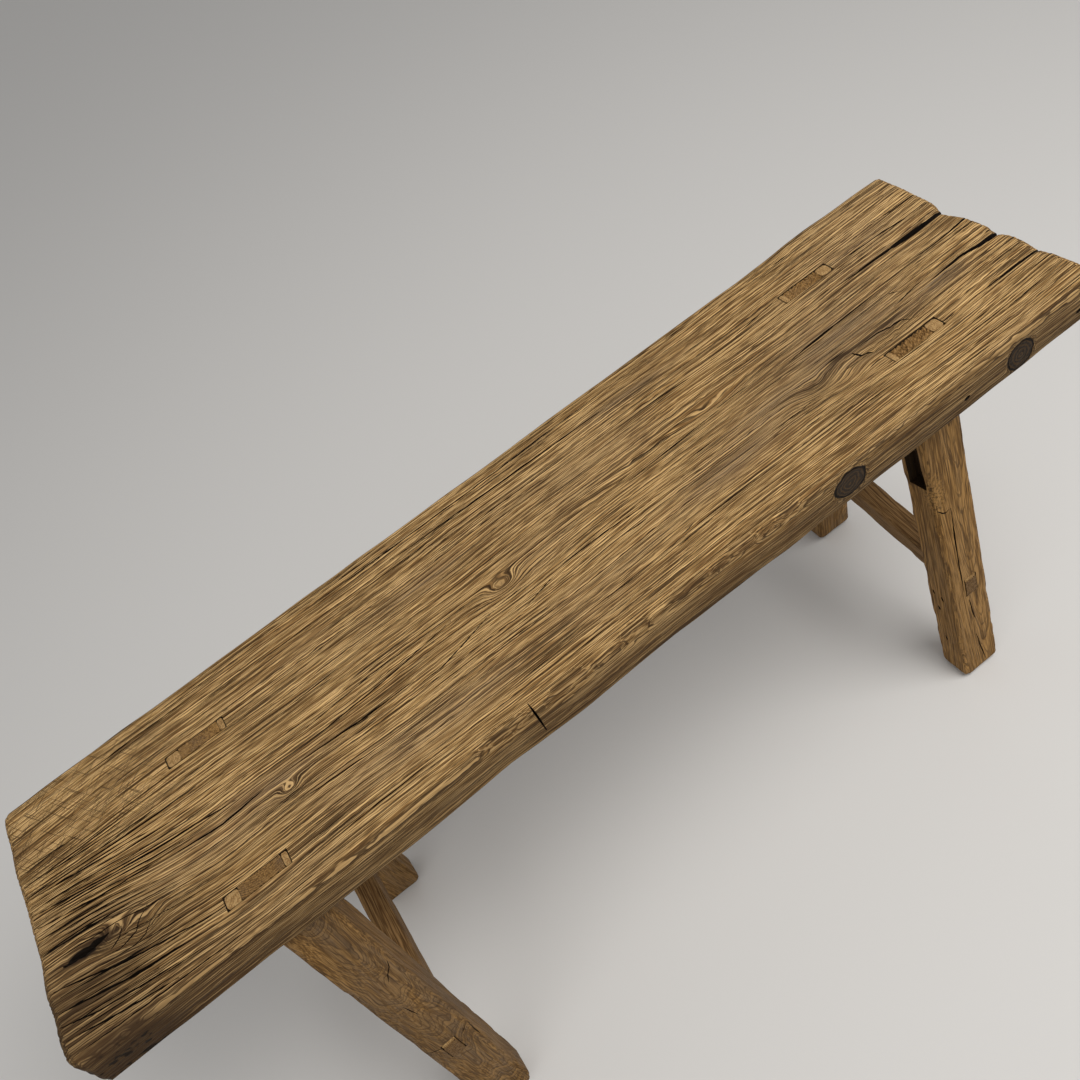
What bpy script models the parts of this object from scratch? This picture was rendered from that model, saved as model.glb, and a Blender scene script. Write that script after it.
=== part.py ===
"""Low bench: a thick seat plank on four splayed legs, tied at each end by a stretcher.

Every leg has a tenon through the plank, locked from above by an outer and an inner wedge.
Every stretcher has a tenon through each of its two legs, locked from outside by one wedge.
X runs along the plank, the front of the bench faces -Y and the floor is at Z = 0. Sizes are in metres,
angles in degrees.
"""

import math
from collections import namedtuple

import bmesh
import bpy
from mathutils import Matrix, Vector

# Fit between pieces that touch, and how far a cutter runs past the faces it cuts
FIT = 0.0003
CUT_MARGIN = 0.004

# Seat plank
PLANK_LENGTH = 1.06
PLANK_WIDTH = 0.270
PLANK_THICKNESS = 0.043
SEAT_HEIGHT = 0.488
PLANK_CORNER_ROUND = 0.010
PLANK_TOP_ROUND = 0.006
PLANK_UNDER_ROUND = 0.004

# Drying splits that open at the plank's right end
Split = namedtuple("Split", "name from_front mouth length depth")
SPLITS = (
    Split("back", 0.169, 0.0065, 0.120, 0.036),
    Split("middle", 0.107, 0.0055, 0.085, 0.030),
    Split("front", 0.062, 0.0040, 0.070, 0.024),
    Split("back_edge", 0.213, 0.0024, 0.070, 0.012),
    Split("centre", 0.146, 0.0030, 0.086, 0.016),
)
SPLIT_TIP = 0.0005

# Main cracks along the grain in the plank's top. A crack is placed by its left end. Its right end lies
# further back by the rise, and its middle is pushed back by the bow; below zero both go to the front
Crack = namedtuple("Crack", "name from_left from_front length rise bow width depth")
CRACKS = (
    Crack("back_left", 0.060, 0.247, 0.140, 0.000, 0.0015, 0.0016, 0.005),
    Crack("back", 0.330, 0.249, 0.376, 0.001, -0.0015, 0.0018, 0.006),
    Crack("back_inner", 0.420, 0.235, 0.260, -0.006, 0.0005, 0.0020, 0.008),
    Crack("back_centre", 0.450, 0.208, 0.156, 0.001, 0.0020, 0.0014, 0.004),
    Crack("right_back", 0.690, 0.199, 0.060, -0.005, 0.0000, 0.0016, 0.006),
    Crack("right_back_end", 0.942, 0.199, 0.088, -0.006, 0.0010, 0.0018, 0.008),
    Crack("right_centre", 0.818, 0.134, 0.110, 0.004, 0.0008, 0.0022, 0.010),
    Crack("centre", 0.630, 0.135, 0.108, 0.004, 0.0000, 0.0016, 0.005),
    Crack("centre_front", 0.532, 0.106, 0.099, -0.004, 0.0012, 0.0015, 0.005),
    Crack("left_centre", 0.263, 0.118, 0.165, 0.013, -0.0030, 0.0017, 0.006),
    Crack("left_centre_front", 0.258, 0.107, 0.115, -0.005, -0.0015, 0.0018, 0.006),
    Crack("left_front", 0.244, 0.074, 0.091, -0.006, 0.0000, 0.0014, 0.004),
    Crack("left_front_edge", 0.230, 0.023, 0.128, 0.003, 0.0005, 0.0014, 0.004),
    Crack("left_end_long", 0.010, 0.147, 0.188, -0.031, -0.0025, 0.0022, 0.008),
    Crack("left_end_centre", 0.010, 0.134, 0.113, -0.020, -0.0020, 0.0018, 0.007),
    Crack("left_end_bent", 0.138, 0.109, 0.084, -0.002, -0.0040, 0.0024, 0.008),
    Crack("left_end_inner", 0.010, 0.072, 0.134, -0.034, -0.0030, 0.0020, 0.008),
    Crack("left_end_front", 0.010, 0.052, 0.122, -0.021, -0.0030, 0.0022, 0.008),
    Crack("left_end_edge", 0.010, 0.028, 0.095, -0.017, -0.0010, 0.0018, 0.007),
)
CRACK_TIP = 0.0005
CRACK_TIP_DEPTH = 0.0015

# Saw cut across the plank's front edge
SAW_CUT_FROM_LEFT = 0.436
SAW_CUT_WIDTH = 0.0022
SAW_CUT_DEPTH = 0.006

# Legs. A tenon's length and a leg's breadth lie along the plank
LEG_BREADTH = 0.052
LEG_DEPTH = 0.039
LEG_ARRIS_ROUND = 0.006
FOOT_ROUND = 0.008
TENON_SHOULDER = 0.006
TENON_WIDTH = 0.0125
TENON_ROOT = 0.012

# A leg's centre line meets the seat's top at these distances from the plank's end and edge,
# and leans outwards along and across the plank
Leg = namedtuple("Leg", "name side face from_end from_edge lean_along lean_across")
LEFT, RIGHT = -1, 1
FRONT, BACK = -1, 1
LEGS = (
    Leg("front_left", LEFT, FRONT, 0.1905, 0.038, 0.7, 7.6),
    Leg("front_right", RIGHT, FRONT, 0.1585, 0.066, 0.5, 6.8),
    Leg("back_left", LEFT, BACK, 0.190, 0.073, 0.4, 7.0),
    Leg("back_right", RIGHT, BACK, 0.162, 0.067, 3.9, 9.2),
)

# Wedges beside the leg tenons: thick end flush with the seat, thin end near the plank's underside
OUTER_WEDGE_BUTT = 0.013
OUTER_WEDGE_TIP = 0.004
INNER_WEDGE_BUTT = 0.0055
INNER_WEDGE_TIP = 0.0015
SEAT_WEDGE_CLEAR = 0.004

# Empty mortise of a lost rail, in the front right leg's inner face
OLD_MORTISE_WIDTH = 0.020
OLD_MORTISE_LENGTH = 0.100
OLD_MORTISE_DEPTH = 0.014
OLD_MORTISE_BELOW_SEAT = 0.168
OLD_MORTISE_LEG = "front_right"

# Stretchers. Their breadth lies along the plank
STRETCHER_BREADTH = 0.027
STRETCHER_DEPTH = 0.028
STRETCHER_ARRIS_ROUND = 0.003
STRETCHER_TENON_BREADTH = 0.015
STRETCHER_TENON_DEPTH = 0.022
STRETCHER_WEDGE_BUTT = 0.0036
STRETCHER_WEDGE_TIP = 0.0014
STRETCHER_WEDGE_SHORT = 0.006

# A stretcher's height above the floor at its front and back leg, and how far it lies outside
# the legs' centre lines
Stretcher = namedtuple("Stretcher", "name front_level back_level outside")
STRETCHERS = (
    Stretcher("left", 0.158, 0.159, 0.002),
    Stretcher("right", 0.156, 0.170, 0.004),
)

# Wood colours, as linear red, green and blue
SEAT_COLOUR = (0.235, 0.130, 0.055)
LEG_COLOUR = (0.200, 0.110, 0.048)
STRETCHER_COLOUR = (0.165, 0.085, 0.035)
WEDGE_COLOUR = (0.330, 0.200, 0.090)
WOOD_ROUGHNESS = 0.75

X_AXIS = Vector((1, 0, 0))
Y_AXIS = Vector((0, 1, 0))
Z_AXIS = Vector((0, 0, 1))
UNDERSIDE = SEAT_HEIGHT - PLANK_THICKNESS
TENON_LENGTH = LEG_BREADTH - 2 * TENON_SHOULDER

Plane = namedtuple("Plane", "point normal")
Section = namedtuple("Section", "a_low a_high b_low b_high")


def clear_scene():
    for obj in list(bpy.data.objects):
        bpy.data.objects.remove(obj)


def collection(name):
    made = bpy.data.collections.new(name)
    bpy.context.scene.collection.children.link(made)
    return made


def wood(name, colour):
    material = bpy.data.materials.new(name)
    material.use_nodes = True
    shader = material.node_tree.nodes["Principled BSDF"]
    shader.inputs["Base Color"].default_value = (*colour, 1)
    shader.inputs["Roughness"].default_value = WOOD_ROUGHNESS
    shader.inputs["Metallic"].default_value = 0
    return material


class Bench:
    """The collections, the empty that carries every piece, and the woods."""

    def __init__(self):
        self.parts = collection("low_bench")
        self.cutters = collection("low_bench_cutters")
        self.root = bpy.data.objects.new("bench_root", None)
        self.parts.objects.link(self.root)
        self.seat_wood = wood("seat_wood", SEAT_COLOUR)
        self.leg_wood = wood("leg_wood", LEG_COLOUR)
        self.stretcher_wood = wood("stretcher_wood", STRETCHER_COLOUR)
        self.wedge_wood = wood("wedge_wood", WEDGE_COLOUR)

    def add(self, name, mesh, frame, material):
        """A piece of the bench, whose mesh is given in the bench's own coordinates."""
        obj = self._object(name, mesh, frame, self.parts)
        obj.data.materials.append(material)
        obj.data.shade_smooth()
        obj.data.set_sharp_from_angle(angle=math.radians(35))
        return obj

    def add_cutter(self, name, mesh, frame):
        obj = self._object(name, mesh, frame, self.cutters)
        obj.hide_render = True
        obj.display_type = "WIRE"
        return obj

    def _object(self, name, mesh, frame, target):
        mesh.transform(frame.inverted())
        data = bpy.data.meshes.new(name)
        mesh.to_mesh(data)
        mesh.free()
        obj = bpy.data.objects.new(name, data)
        target.objects.link(obj)
        obj.parent = self.root
        obj.matrix_local = frame
        return obj


def boolean(piece, other, operation):
    modifier = piece.modifiers.new(f"{operation.lower()} {other.name}", "BOOLEAN")
    modifier.object = other
    modifier.operation = operation
    modifier.solver = "EXACT"


def frame_from(origin, along, across, up):
    rotation = Matrix((along, across, up)).transposed().to_4x4()
    return Matrix.Translation(origin) @ rotation


def slide_to(plane, point, direction):
    """Where a line through the point, along direction, meets the plane."""
    step = (plane.point - point).dot(plane.normal) / direction.dot(plane.normal)
    return point + step * direction


def bar(origin, a_axis, b_axis, direction, ends, sections):
    """A four-sided bar from one end plane to the other, with a section of its own at each."""
    mesh = bmesh.new()
    bmesh.ops.create_cube(mesh, size=2)
    for vertex in mesh.verts:
        far = vertex.co.z > 0
        section = sections[far]
        a = section.a_high if vertex.co.x > 0 else section.a_low
        b = section.b_high if vertex.co.y > 0 else section.b_low
        vertex.co = slide_to(ends[far], origin + a * a_axis + b * b_axis, direction)
    mesh.normal_update()
    bmesh.ops.recalc_face_normals(mesh, faces=mesh.faces)
    return mesh


def centred(a_size, b_size):
    return Section(-a_size / 2, a_size / 2, -b_size / 2, b_size / 2)


def round_edges(mesh, chosen, radius, segments):
    """Rounds the edges for which chosen(edge) is true."""
    edges = [edge for edge in mesh.edges if chosen(edge)]
    bmesh.ops.bevel(
        mesh,
        geom=edges,
        offset=radius,
        segments=segments,
        profile=0.5,
        affect="EDGES",
        clamp_overlap=True,
    )


def edge_direction(edge):
    return (edge.verts[1].co - edge.verts[0].co).normalized()


def runs_along(edge, direction):
    return abs(edge_direction(edge).dot(direction)) > 0.9


def both_at_height(edge, height):
    return all(abs(vertex.co.z - height) < FIT for vertex in edge.verts)


def horizontal(height):
    return Plane(Vector((0, 0, height)), Z_AXIS)


class LegFrame:
    """A leg's centre line and its own directions: up the leg, along and across the plank."""

    def __init__(self, leg):
        x = leg.side * (PLANK_LENGTH / 2 - leg.from_end)
        y = leg.face * (PLANK_WIDTH / 2 - leg.from_edge)
        out_along = leg.side * math.tan(math.radians(leg.lean_along))
        out_across = leg.face * math.tan(math.radians(leg.lean_across))
        self.leg = leg
        self.head = Vector((x, y, SEAT_HEIGHT))
        self.up = Vector((-out_along, -out_across, 1)).normalized()
        self.along = (X_AXIS - X_AXIS.dot(self.up) * self.up).normalized()
        self.across = self.up.cross(self.along)
        self.matrix = frame_from(self.at_height(UNDERSIDE), self.along, self.across, self.up)

    def at_height(self, height):
        return slide_to(horizontal(height), self.head, self.up)

    def bar(self, low, high, low_section, high_section):
        """A bar up the leg between two heights."""
        ends = (horizontal(low), horizontal(high))
        return bar(self.head, self.along, self.across, self.up, ends, (low_section, high_section))

    def face_plane(self, outwards):
        """A plane along the leg's front or back face, at a distance outwards from the centre line."""
        normal = self.leg.face * self.across
        return Plane(self.head + outwards * normal, normal)

    def foot_reach(self):
        """How far the foot stands from the plank's middle line."""
        return abs(self.at_height(0).y) + LEG_DEPTH / 2 / abs(self.across.y)


def wedge_thickness(butt, tip, height):
    """Thickness of a seat wedge at a height, between the plank's underside and its top."""
    return tip + (butt - tip) * (height - UNDERSIDE) / PLANK_THICKNESS


def seat_mortise_section(leg, height):
    """The plank's mortise at a height: the tenon, both wedges and the fits between them."""
    outer = wedge_thickness(OUTER_WEDGE_BUTT, OUTER_WEDGE_TIP, height)
    inner = wedge_thickness(INNER_WEDGE_BUTT, INNER_WEDGE_TIP, height)
    out_end = TENON_LENGTH / 2 + outer + 2 * FIT
    in_end = TENON_LENGTH / 2 + inner + 2 * FIT
    half_width = TENON_WIDTH / 2 + FIT
    if leg.side == RIGHT:
        return Section(-in_end, out_end, -half_width, half_width)
    return Section(-out_end, in_end, -half_width, half_width)


def seat_wedge_section(direction, butt, tip, height):
    """A wedge at a height, against the tenon's end on the side that direction gives."""
    near = TENON_LENGTH / 2 + FIT
    far = near + wedge_thickness(butt, tip, height)
    low, high = sorted((direction * near, direction * far))
    return Section(low, high, -TENON_WIDTH / 2, TENON_WIDTH / 2)


def make_plank(bench, frames):
    mesh = bmesh.new()
    bmesh.ops.create_cube(mesh, size=1)
    bmesh.ops.scale(mesh, vec=(PLANK_LENGTH, PLANK_WIDTH, PLANK_THICKNESS), verts=mesh.verts)
    bmesh.ops.translate(mesh, vec=(0, 0, SEAT_HEIGHT - PLANK_THICKNESS / 2), verts=mesh.verts)
    round_edges(mesh, lambda edge: runs_along(edge, Z_AXIS), PLANK_CORNER_ROUND, 4)
    round_edges(mesh, lambda edge: both_at_height(edge, SEAT_HEIGHT), PLANK_TOP_ROUND, 3)
    round_edges(mesh, lambda edge: both_at_height(edge, UNDERSIDE), PLANK_UNDER_ROUND, 2)
    frame = Matrix.Translation((0, 0, SEAT_HEIGHT))
    plank = bench.add("seat_plank", mesh, frame, bench.seat_wood)
    for split in SPLITS:
        boolean(plank, make_split(bench, split), "DIFFERENCE")
    for crack in CRACKS:
        boolean(plank, make_crack(bench, crack), "DIFFERENCE")
    boolean(plank, make_saw_cut(bench), "DIFFERENCE")
    for leg_frame in frames:
        boolean(plank, make_seat_mortise(bench, leg_frame), "DIFFERENCE")


def make_split(bench, split):
    """A tapering gap that is widest at the plank's end and opens on its top."""
    end = PLANK_LENGTH / 2
    tip = Plane(Vector((end - split.length, 0, 0)), X_AXIS)
    mouth = Plane(Vector((end + CUT_MARGIN, 0, 0)), X_AXIS)
    origin = Vector((0, split.from_front - PLANK_WIDTH / 2, SEAT_HEIGHT))
    tip_section = Section(-SPLIT_TIP / 2, SPLIT_TIP / 2, -split.depth, CUT_MARGIN)
    mouth_section = Section(-split.mouth / 2, split.mouth / 2, -split.depth, CUT_MARGIN)
    sections = (tip_section, mouth_section)
    mesh = bar(origin, Y_AXIS, Z_AXIS, X_AXIS, (tip, mouth), sections)
    return bench.add_cutter(f"cut_split_{split.name}", mesh, Matrix.Translation(origin))


def make_crack(bench, crack):
    """A groove along the grain, closed at both ends, widest and deepest in its middle."""
    left = Vector((crack.from_left - PLANK_LENGTH / 2, crack.from_front - PLANK_WIDTH / 2, SEAT_HEIGHT))
    right = left + crack.length * X_AXIS + crack.rise * Y_AXIS
    middle = (left + right) / 2 + crack.bow * Y_AXIS
    stations = (
        (left, CRACK_TIP, CRACK_TIP_DEPTH),
        (middle, crack.width, crack.depth),
        (right, CRACK_TIP, CRACK_TIP_DEPTH),
    )
    mesh = bmesh.new()
    rings = []
    for place, width, depth in stations:
        half = width / 2
        corners = ((-half, CUT_MARGIN), (half, CUT_MARGIN), (half, -depth), (-half, -depth))
        rings.append([mesh.verts.new(place + a * Y_AXIS + b * Z_AXIS) for a, b in corners])
    for near, far in zip(rings, rings[1:]):
        for corner in range(4):
            after = (corner + 1) % 4
            mesh.faces.new((near[corner], near[after], far[after], far[corner]))
    mesh.faces.new(rings[0])
    mesh.faces.new(rings[-1])
    bmesh.ops.recalc_face_normals(mesh, faces=mesh.faces)
    return bench.add_cutter(f"cut_crack_{crack.name}", mesh, Matrix.Translation(left))


def make_saw_cut(bench):
    """A narrow cut into the front edge, over its whole height."""
    origin = Vector((SAW_CUT_FROM_LEFT - PLANK_LENGTH / 2, -PLANK_WIDTH / 2, 0))
    section = Section(-SAW_CUT_WIDTH / 2, SAW_CUT_WIDTH / 2, -CUT_MARGIN, SAW_CUT_DEPTH)
    ends = (horizontal(UNDERSIDE - CUT_MARGIN), horizontal(SEAT_HEIGHT + CUT_MARGIN))
    mesh = bar(origin, X_AXIS, Y_AXIS, Z_AXIS, ends, (section, section))
    return bench.add_cutter("cut_saw", mesh, Matrix.Translation(origin))


def make_seat_mortise(bench, leg_frame):
    low = UNDERSIDE - CUT_MARGIN
    high = SEAT_HEIGHT + CUT_MARGIN
    low_section = seat_mortise_section(leg_frame.leg, low)
    high_section = seat_mortise_section(leg_frame.leg, high)
    mesh = leg_frame.bar(low, high, low_section, high_section)
    return bench.add_cutter(f"cut_mortise_{leg_frame.leg.name}", mesh, leg_frame.matrix)


def make_leg(bench, leg_frame, stretcher):
    leg = leg_frame.leg
    shoulder = UNDERSIDE - FIT
    body_section = centred(LEG_BREADTH, LEG_DEPTH)
    mesh = leg_frame.bar(0, shoulder, body_section, body_section)
    round_edges(mesh, lambda edge: runs_along(edge, leg_frame.up), LEG_ARRIS_ROUND, 3)
    round_edges(mesh, lambda edge: both_at_height(edge, 0), FOOT_ROUND, 3)
    body = bench.add(f"leg_{leg.name}", mesh, leg_frame.matrix, bench.leg_wood)

    tenon_section = centred(TENON_LENGTH, TENON_WIDTH)
    mesh = leg_frame.bar(shoulder - TENON_ROOT, SEAT_HEIGHT, tenon_section, tenon_section)
    boolean(body, bench.add_cutter(f"tenon_{leg.name}", mesh, leg_frame.matrix), "UNION")
    boolean(body, make_stretcher_mortise(bench, stretcher, leg_frame), "DIFFERENCE")
    if leg.name == OLD_MORTISE_LEG:
        boolean(body, make_old_mortise(bench, leg_frame), "DIFFERENCE")


def make_old_mortise(bench, leg_frame):
    """A blind mortise in the leg's inner face."""
    low = SEAT_HEIGHT - OLD_MORTISE_BELOW_SEAT
    inner_face = -leg_frame.leg.side * LEG_BREADTH / 2
    outside = inner_face - leg_frame.leg.side * CUT_MARGIN
    bottom = inner_face + leg_frame.leg.side * OLD_MORTISE_DEPTH
    a_low, a_high = sorted((outside, bottom))
    section = Section(a_low, a_high, -OLD_MORTISE_WIDTH / 2, OLD_MORTISE_WIDTH / 2)
    mesh = leg_frame.bar(low, low + OLD_MORTISE_LENGTH, section, section)
    return bench.add_cutter("cut_old_mortise", mesh, leg_frame.matrix)


def make_seat_wedges(bench, leg_frame):
    """An outer and an inner wedge, driven in from the seat's top."""
    leg = leg_frame.leg
    low = UNDERSIDE + SEAT_WEDGE_CLEAR
    wedges = (
        ("outer", leg.side, OUTER_WEDGE_BUTT, OUTER_WEDGE_TIP),
        ("inner", -leg.side, INNER_WEDGE_BUTT, INNER_WEDGE_TIP),
    )
    for place, direction, butt, tip in wedges:
        low_section = seat_wedge_section(direction, butt, tip, low)
        high_section = seat_wedge_section(direction, butt, tip, SEAT_HEIGHT)
        mesh = leg_frame.bar(low, SEAT_HEIGHT, low_section, high_section)
        bench.add(f"seat_wedge_{leg.name}_{place}", mesh, leg_frame.matrix, bench.wedge_wood)


class StretcherFrame:
    """A stretcher's centre line, from its front leg to its back leg."""

    def __init__(self, stretcher, front, back):
        start = front.at_height(stretcher.front_level)
        end = back.at_height(stretcher.back_level)
        outside = front.leg.side * stretcher.outside * X_AXIS
        self.name = f"stretcher_{stretcher.name}"
        self.legs = (front, back)
        self.middle = (start + end) / 2 + outside
        self.direction = (end - start).normalized()
        self.side = self.direction.cross(Z_AXIS).normalized()
        self.up = self.side.cross(self.direction)
        self.matrix = frame_from(self.middle, self.side, self.direction, self.up)

    def bar(self, ends, sections):
        return bar(self.middle, self.side, self.up, self.direction, ends, sections)


def stretcher_wedge_thickness(outwards):
    """Thickness of a stretcher wedge at a distance outwards from its leg's centre line."""
    share = (outwards + LEG_DEPTH / 2) / LEG_DEPTH
    return STRETCHER_WEDGE_TIP + (STRETCHER_WEDGE_BUTT - STRETCHER_WEDGE_TIP) * share


def tenon_floor():
    """Lower side of a stretcher's tenon, set so that tenon and wedge lie centred in the stretcher."""
    return -(STRETCHER_TENON_DEPTH + STRETCHER_WEDGE_BUTT) / 2


def stretcher_tenon_section():
    half = STRETCHER_TENON_BREADTH / 2
    return Section(-half, half, tenon_floor(), tenon_floor() + STRETCHER_TENON_DEPTH)


def stretcher_mortise_section(outwards):
    tenon = stretcher_tenon_section()
    top = tenon.b_high + 2 * FIT + stretcher_wedge_thickness(outwards)
    return Section(tenon.a_low - FIT, tenon.a_high + FIT, tenon.b_low - FIT, top)


def stretcher_wedge_section(outwards):
    tenon = stretcher_tenon_section()
    low = tenon.b_high + FIT
    return Section(tenon.a_low, tenon.a_high, low, low + stretcher_wedge_thickness(outwards))


def in_order(leg_frame, outer, inner):
    """The outer and inner item of a leg, in the order of a walk from the front leg to the back leg."""
    return (outer, inner) if leg_frame.leg.face == FRONT else (inner, outer)


def make_stretcher_mortise(bench, stretcher, leg_frame):
    outer = LEG_DEPTH / 2 + CUT_MARGIN
    planes = [leg_frame.face_plane(reach) for reach in (outer, -outer)]
    sections = [stretcher_mortise_section(reach) for reach in (outer, -outer)]
    mesh = stretcher.bar(in_order(leg_frame, *planes), in_order(leg_frame, *sections))
    name = f"cut_stretcher_mortise_{leg_frame.leg.name}"
    return bench.add_cutter(name, mesh, stretcher.matrix)


def make_stretcher(bench, stretcher):
    """The stretcher between the legs, with one long core that makes the tenon at each end."""
    shoulder = -(LEG_DEPTH / 2 + FIT)
    ends = [frame.face_plane(shoulder) for frame in stretcher.legs]
    section = centred(STRETCHER_BREADTH, STRETCHER_DEPTH)
    mesh = stretcher.bar(ends, (section, section))
    round_edges(mesh, lambda edge: runs_along(edge, stretcher.direction), STRETCHER_ARRIS_ROUND, 2)
    body = bench.add(stretcher.name, mesh, stretcher.matrix, bench.stretcher_wood)

    ends = [frame.face_plane(LEG_DEPTH / 2) for frame in stretcher.legs]
    section = stretcher_tenon_section()
    mesh = stretcher.bar(ends, (section, section))
    core = bench.add_cutter(f"tenons_{stretcher.name}", mesh, stretcher.matrix)
    boolean(body, core, "UNION")


def make_stretcher_wedges(bench, stretcher):
    """One wedge above each tenon, driven in from the leg's outer face."""
    for leg_frame in stretcher.legs:
        outer = LEG_DEPTH / 2
        inner = -LEG_DEPTH / 2 + STRETCHER_WEDGE_SHORT
        planes = [leg_frame.face_plane(reach) for reach in (outer, inner)]
        sections = [stretcher_wedge_section(reach) for reach in (outer, inner)]
        mesh = stretcher.bar(in_order(leg_frame, *planes), in_order(leg_frame, *sections))
        name = f"stretcher_wedge_{leg_frame.leg.name}"
        bench.add(name, mesh, stretcher.matrix, bench.wedge_wood)


def centre_on_feet(bench, frames):
    """Moves the bench so that its outline on the floor is centred on the origin."""
    front = max(frame.foot_reach() for frame in frames if frame.leg.face == FRONT)
    back = max(frame.foot_reach() for frame in frames if frame.leg.face == BACK)
    bench.root.location.y = (front - back) / 2


def main():
    clear_scene()
    bench = Bench()
    frames = {leg.name: LegFrame(leg) for leg in LEGS}
    make_plank(bench, frames.values())
    for piece in STRETCHERS:
        front = frames[f"front_{piece.name}"]
        back = frames[f"back_{piece.name}"]
        stretcher = StretcherFrame(piece, front, back)
        make_stretcher(bench, stretcher)
        make_stretcher_wedges(bench, stretcher)
        for leg_frame in stretcher.legs:
            make_leg(bench, leg_frame, stretcher)
            make_seat_wedges(bench, leg_frame)
    centre_on_feet(bench, frames.values())


main()
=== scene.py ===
"""Worn low bench: the finished look of every piece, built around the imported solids.

X runs along the seat, the front faces -Y and the floor is at Z = 0. Sizes are in metres.
Places on the seat are given from the middle of its top: x to the right, y to the back.
"""

import math
from collections import namedtuple

import bmesh
import bpy
import numpy as np
from bpy.props import FloatProperty, FloatVectorProperty, PointerProperty
from mathutils import Matrix, Vector
from mathutils.bvhtree import BVHTree


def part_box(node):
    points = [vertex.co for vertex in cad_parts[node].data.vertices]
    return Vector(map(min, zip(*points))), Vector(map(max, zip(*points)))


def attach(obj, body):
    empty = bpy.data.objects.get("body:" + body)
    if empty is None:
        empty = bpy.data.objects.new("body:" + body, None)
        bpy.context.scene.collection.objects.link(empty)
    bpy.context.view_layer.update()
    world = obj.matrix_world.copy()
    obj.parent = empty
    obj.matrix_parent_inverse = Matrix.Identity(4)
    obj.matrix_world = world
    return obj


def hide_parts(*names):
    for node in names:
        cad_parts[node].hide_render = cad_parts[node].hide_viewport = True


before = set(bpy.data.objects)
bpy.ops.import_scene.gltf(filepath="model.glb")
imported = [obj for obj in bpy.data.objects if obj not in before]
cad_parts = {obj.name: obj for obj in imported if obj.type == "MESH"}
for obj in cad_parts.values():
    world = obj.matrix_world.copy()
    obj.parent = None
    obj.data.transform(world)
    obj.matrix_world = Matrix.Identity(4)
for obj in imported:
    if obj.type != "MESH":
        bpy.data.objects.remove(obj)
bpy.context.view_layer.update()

bl_info = {
    "name": "Worn Low Bench",
    "version": (1, 0, 0),
    "blender": (4, 5, 0),
    "location": "3D View > Sidebar > Bench",
    "description": "Builds a low bench of old, weathered wood with wedged joints",
    "category": "Add Mesh",
}

SIDES = ("left", "right")
LEGS = ("front_left", "front_right", "back_left", "back_right")
JOINT_GAP = 0.0010
JOINT_SHADE = 0.92
# What a cut surface takes over from the surface before the cut, with the numbers per point
SURFACE_MARKS = ("ring", "line", "weather", "stain", "fresh", "chip", "scratch", "crust", "end")
CARRIED = {"grain": 3, **dict.fromkeys(SURFACE_MARKS, 1)}
SHARP_ANGLE = math.radians(50)
MERGE_DISTANCE = 1e-6
NOISE_CELLS = 256

# Seat plank
SEAT_LOW, SEAT_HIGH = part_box("seat_plank")
SEAT_MIDDLE = Vector(((SEAT_LOW.x + SEAT_HIGH.x) / 2, (SEAT_LOW.y + SEAT_HIGH.y) / 2, SEAT_HIGH.z))
SEAT_HALF = np.array(SEAT_HIGH - SEAT_LOW) / 2
# Stations along the seat: their step, those near an end, and the least distance between two
SEAT_STATION = 0.0095
SEAT_END_STATIONS = (0.0, 0.0012, 0.0028, 0.005, 0.008, 0.012, 0.017)
STATION_GAP = 0.0016
# Extra stations over knots and hollows: their number, and how far they reach, in half lengths
TOP_KNOT_STATIONS, EDGE_KNOT_STATIONS, KNOT_REACH = 9, 15, 1.3
HOLLOW_STATIONS, HOLLOW_REACH = 19, 1.2
SEAT_LAYERS = 13
UNDERSIDE_ROWS = 5
SEAT_SEED = 11

# Growth rings of the seat: the pith lies behind and below, and each ring has lattice rows at these shares
PITH_Y, PITH_Z = 0.42, -0.32
RING_START = 0.40
RING_COUNT = 110
RING_ROWS = (0.0, 0.62, 0.92)
RING_PROFILE = ((0.0, 0.62, 0.92, 1.0), (0.0, 0.12, 1.0, 0.0))
RING_UNEVEN = (0.55, 1.45)
# Slow waves of the growth lines: their height, their length, and how they drift across the seat
GRAIN_WAVES = ((0.0015, 0.47, 1.6), (0.0008, 0.19, 5))

# How far the seat's worn edges lie inside the solid
OUTLINE_SPREAD = 0.006
Outline = namedtuple("Outline", "at inset")
FRONT_EDGE = Outline(
    (-0.53, -0.23, -0.134, -0.049, 0.039, 0.091, 0.159, 0.53),
    (0.0, 0.0005, 0.0025, 0.0005, 0.003, 0.0028, 0.0003, 0.0),
)
BACK_EDGE = Outline(
    (-0.53, -0.487, -0.201, 0.034, 0.285, 0.372, 0.400, 0.430, 0.452, 0.53),
    (0.002, 0.0000, 0.0010, 0.0035, 0.004, 0.0035, 0.0, 0.0, 0.0015, 0.004),
)
LEFT_END = Outline(
    (-0.135, -0.122, -0.105, -0.084, -0.059, -0.031, 0.011, 0.033, 0.072, 0.108, 0.124, 0.135),
    (0.0110, 0.0035, 0.0010, 0.0020, 0.0005, 0.0035, 0.0025, 0.0015, 0.0, 0.0, 0.001, 0.005),
)
RIGHT_END = Outline(
    (-0.135, -0.125, -0.11, -0.08, -0.073, -0.06, -0.038, -0.027, -0.015, 0.011, 0.036, 0.05, 0.095, 0.135),
    (0.004, 0.0005, 0.0, 0.0015, 0.0055, 0.002, 0.001, 0.008, 0.0025, 0.003, 0.011, 0.003, 0.0, 0.001),
)

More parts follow.
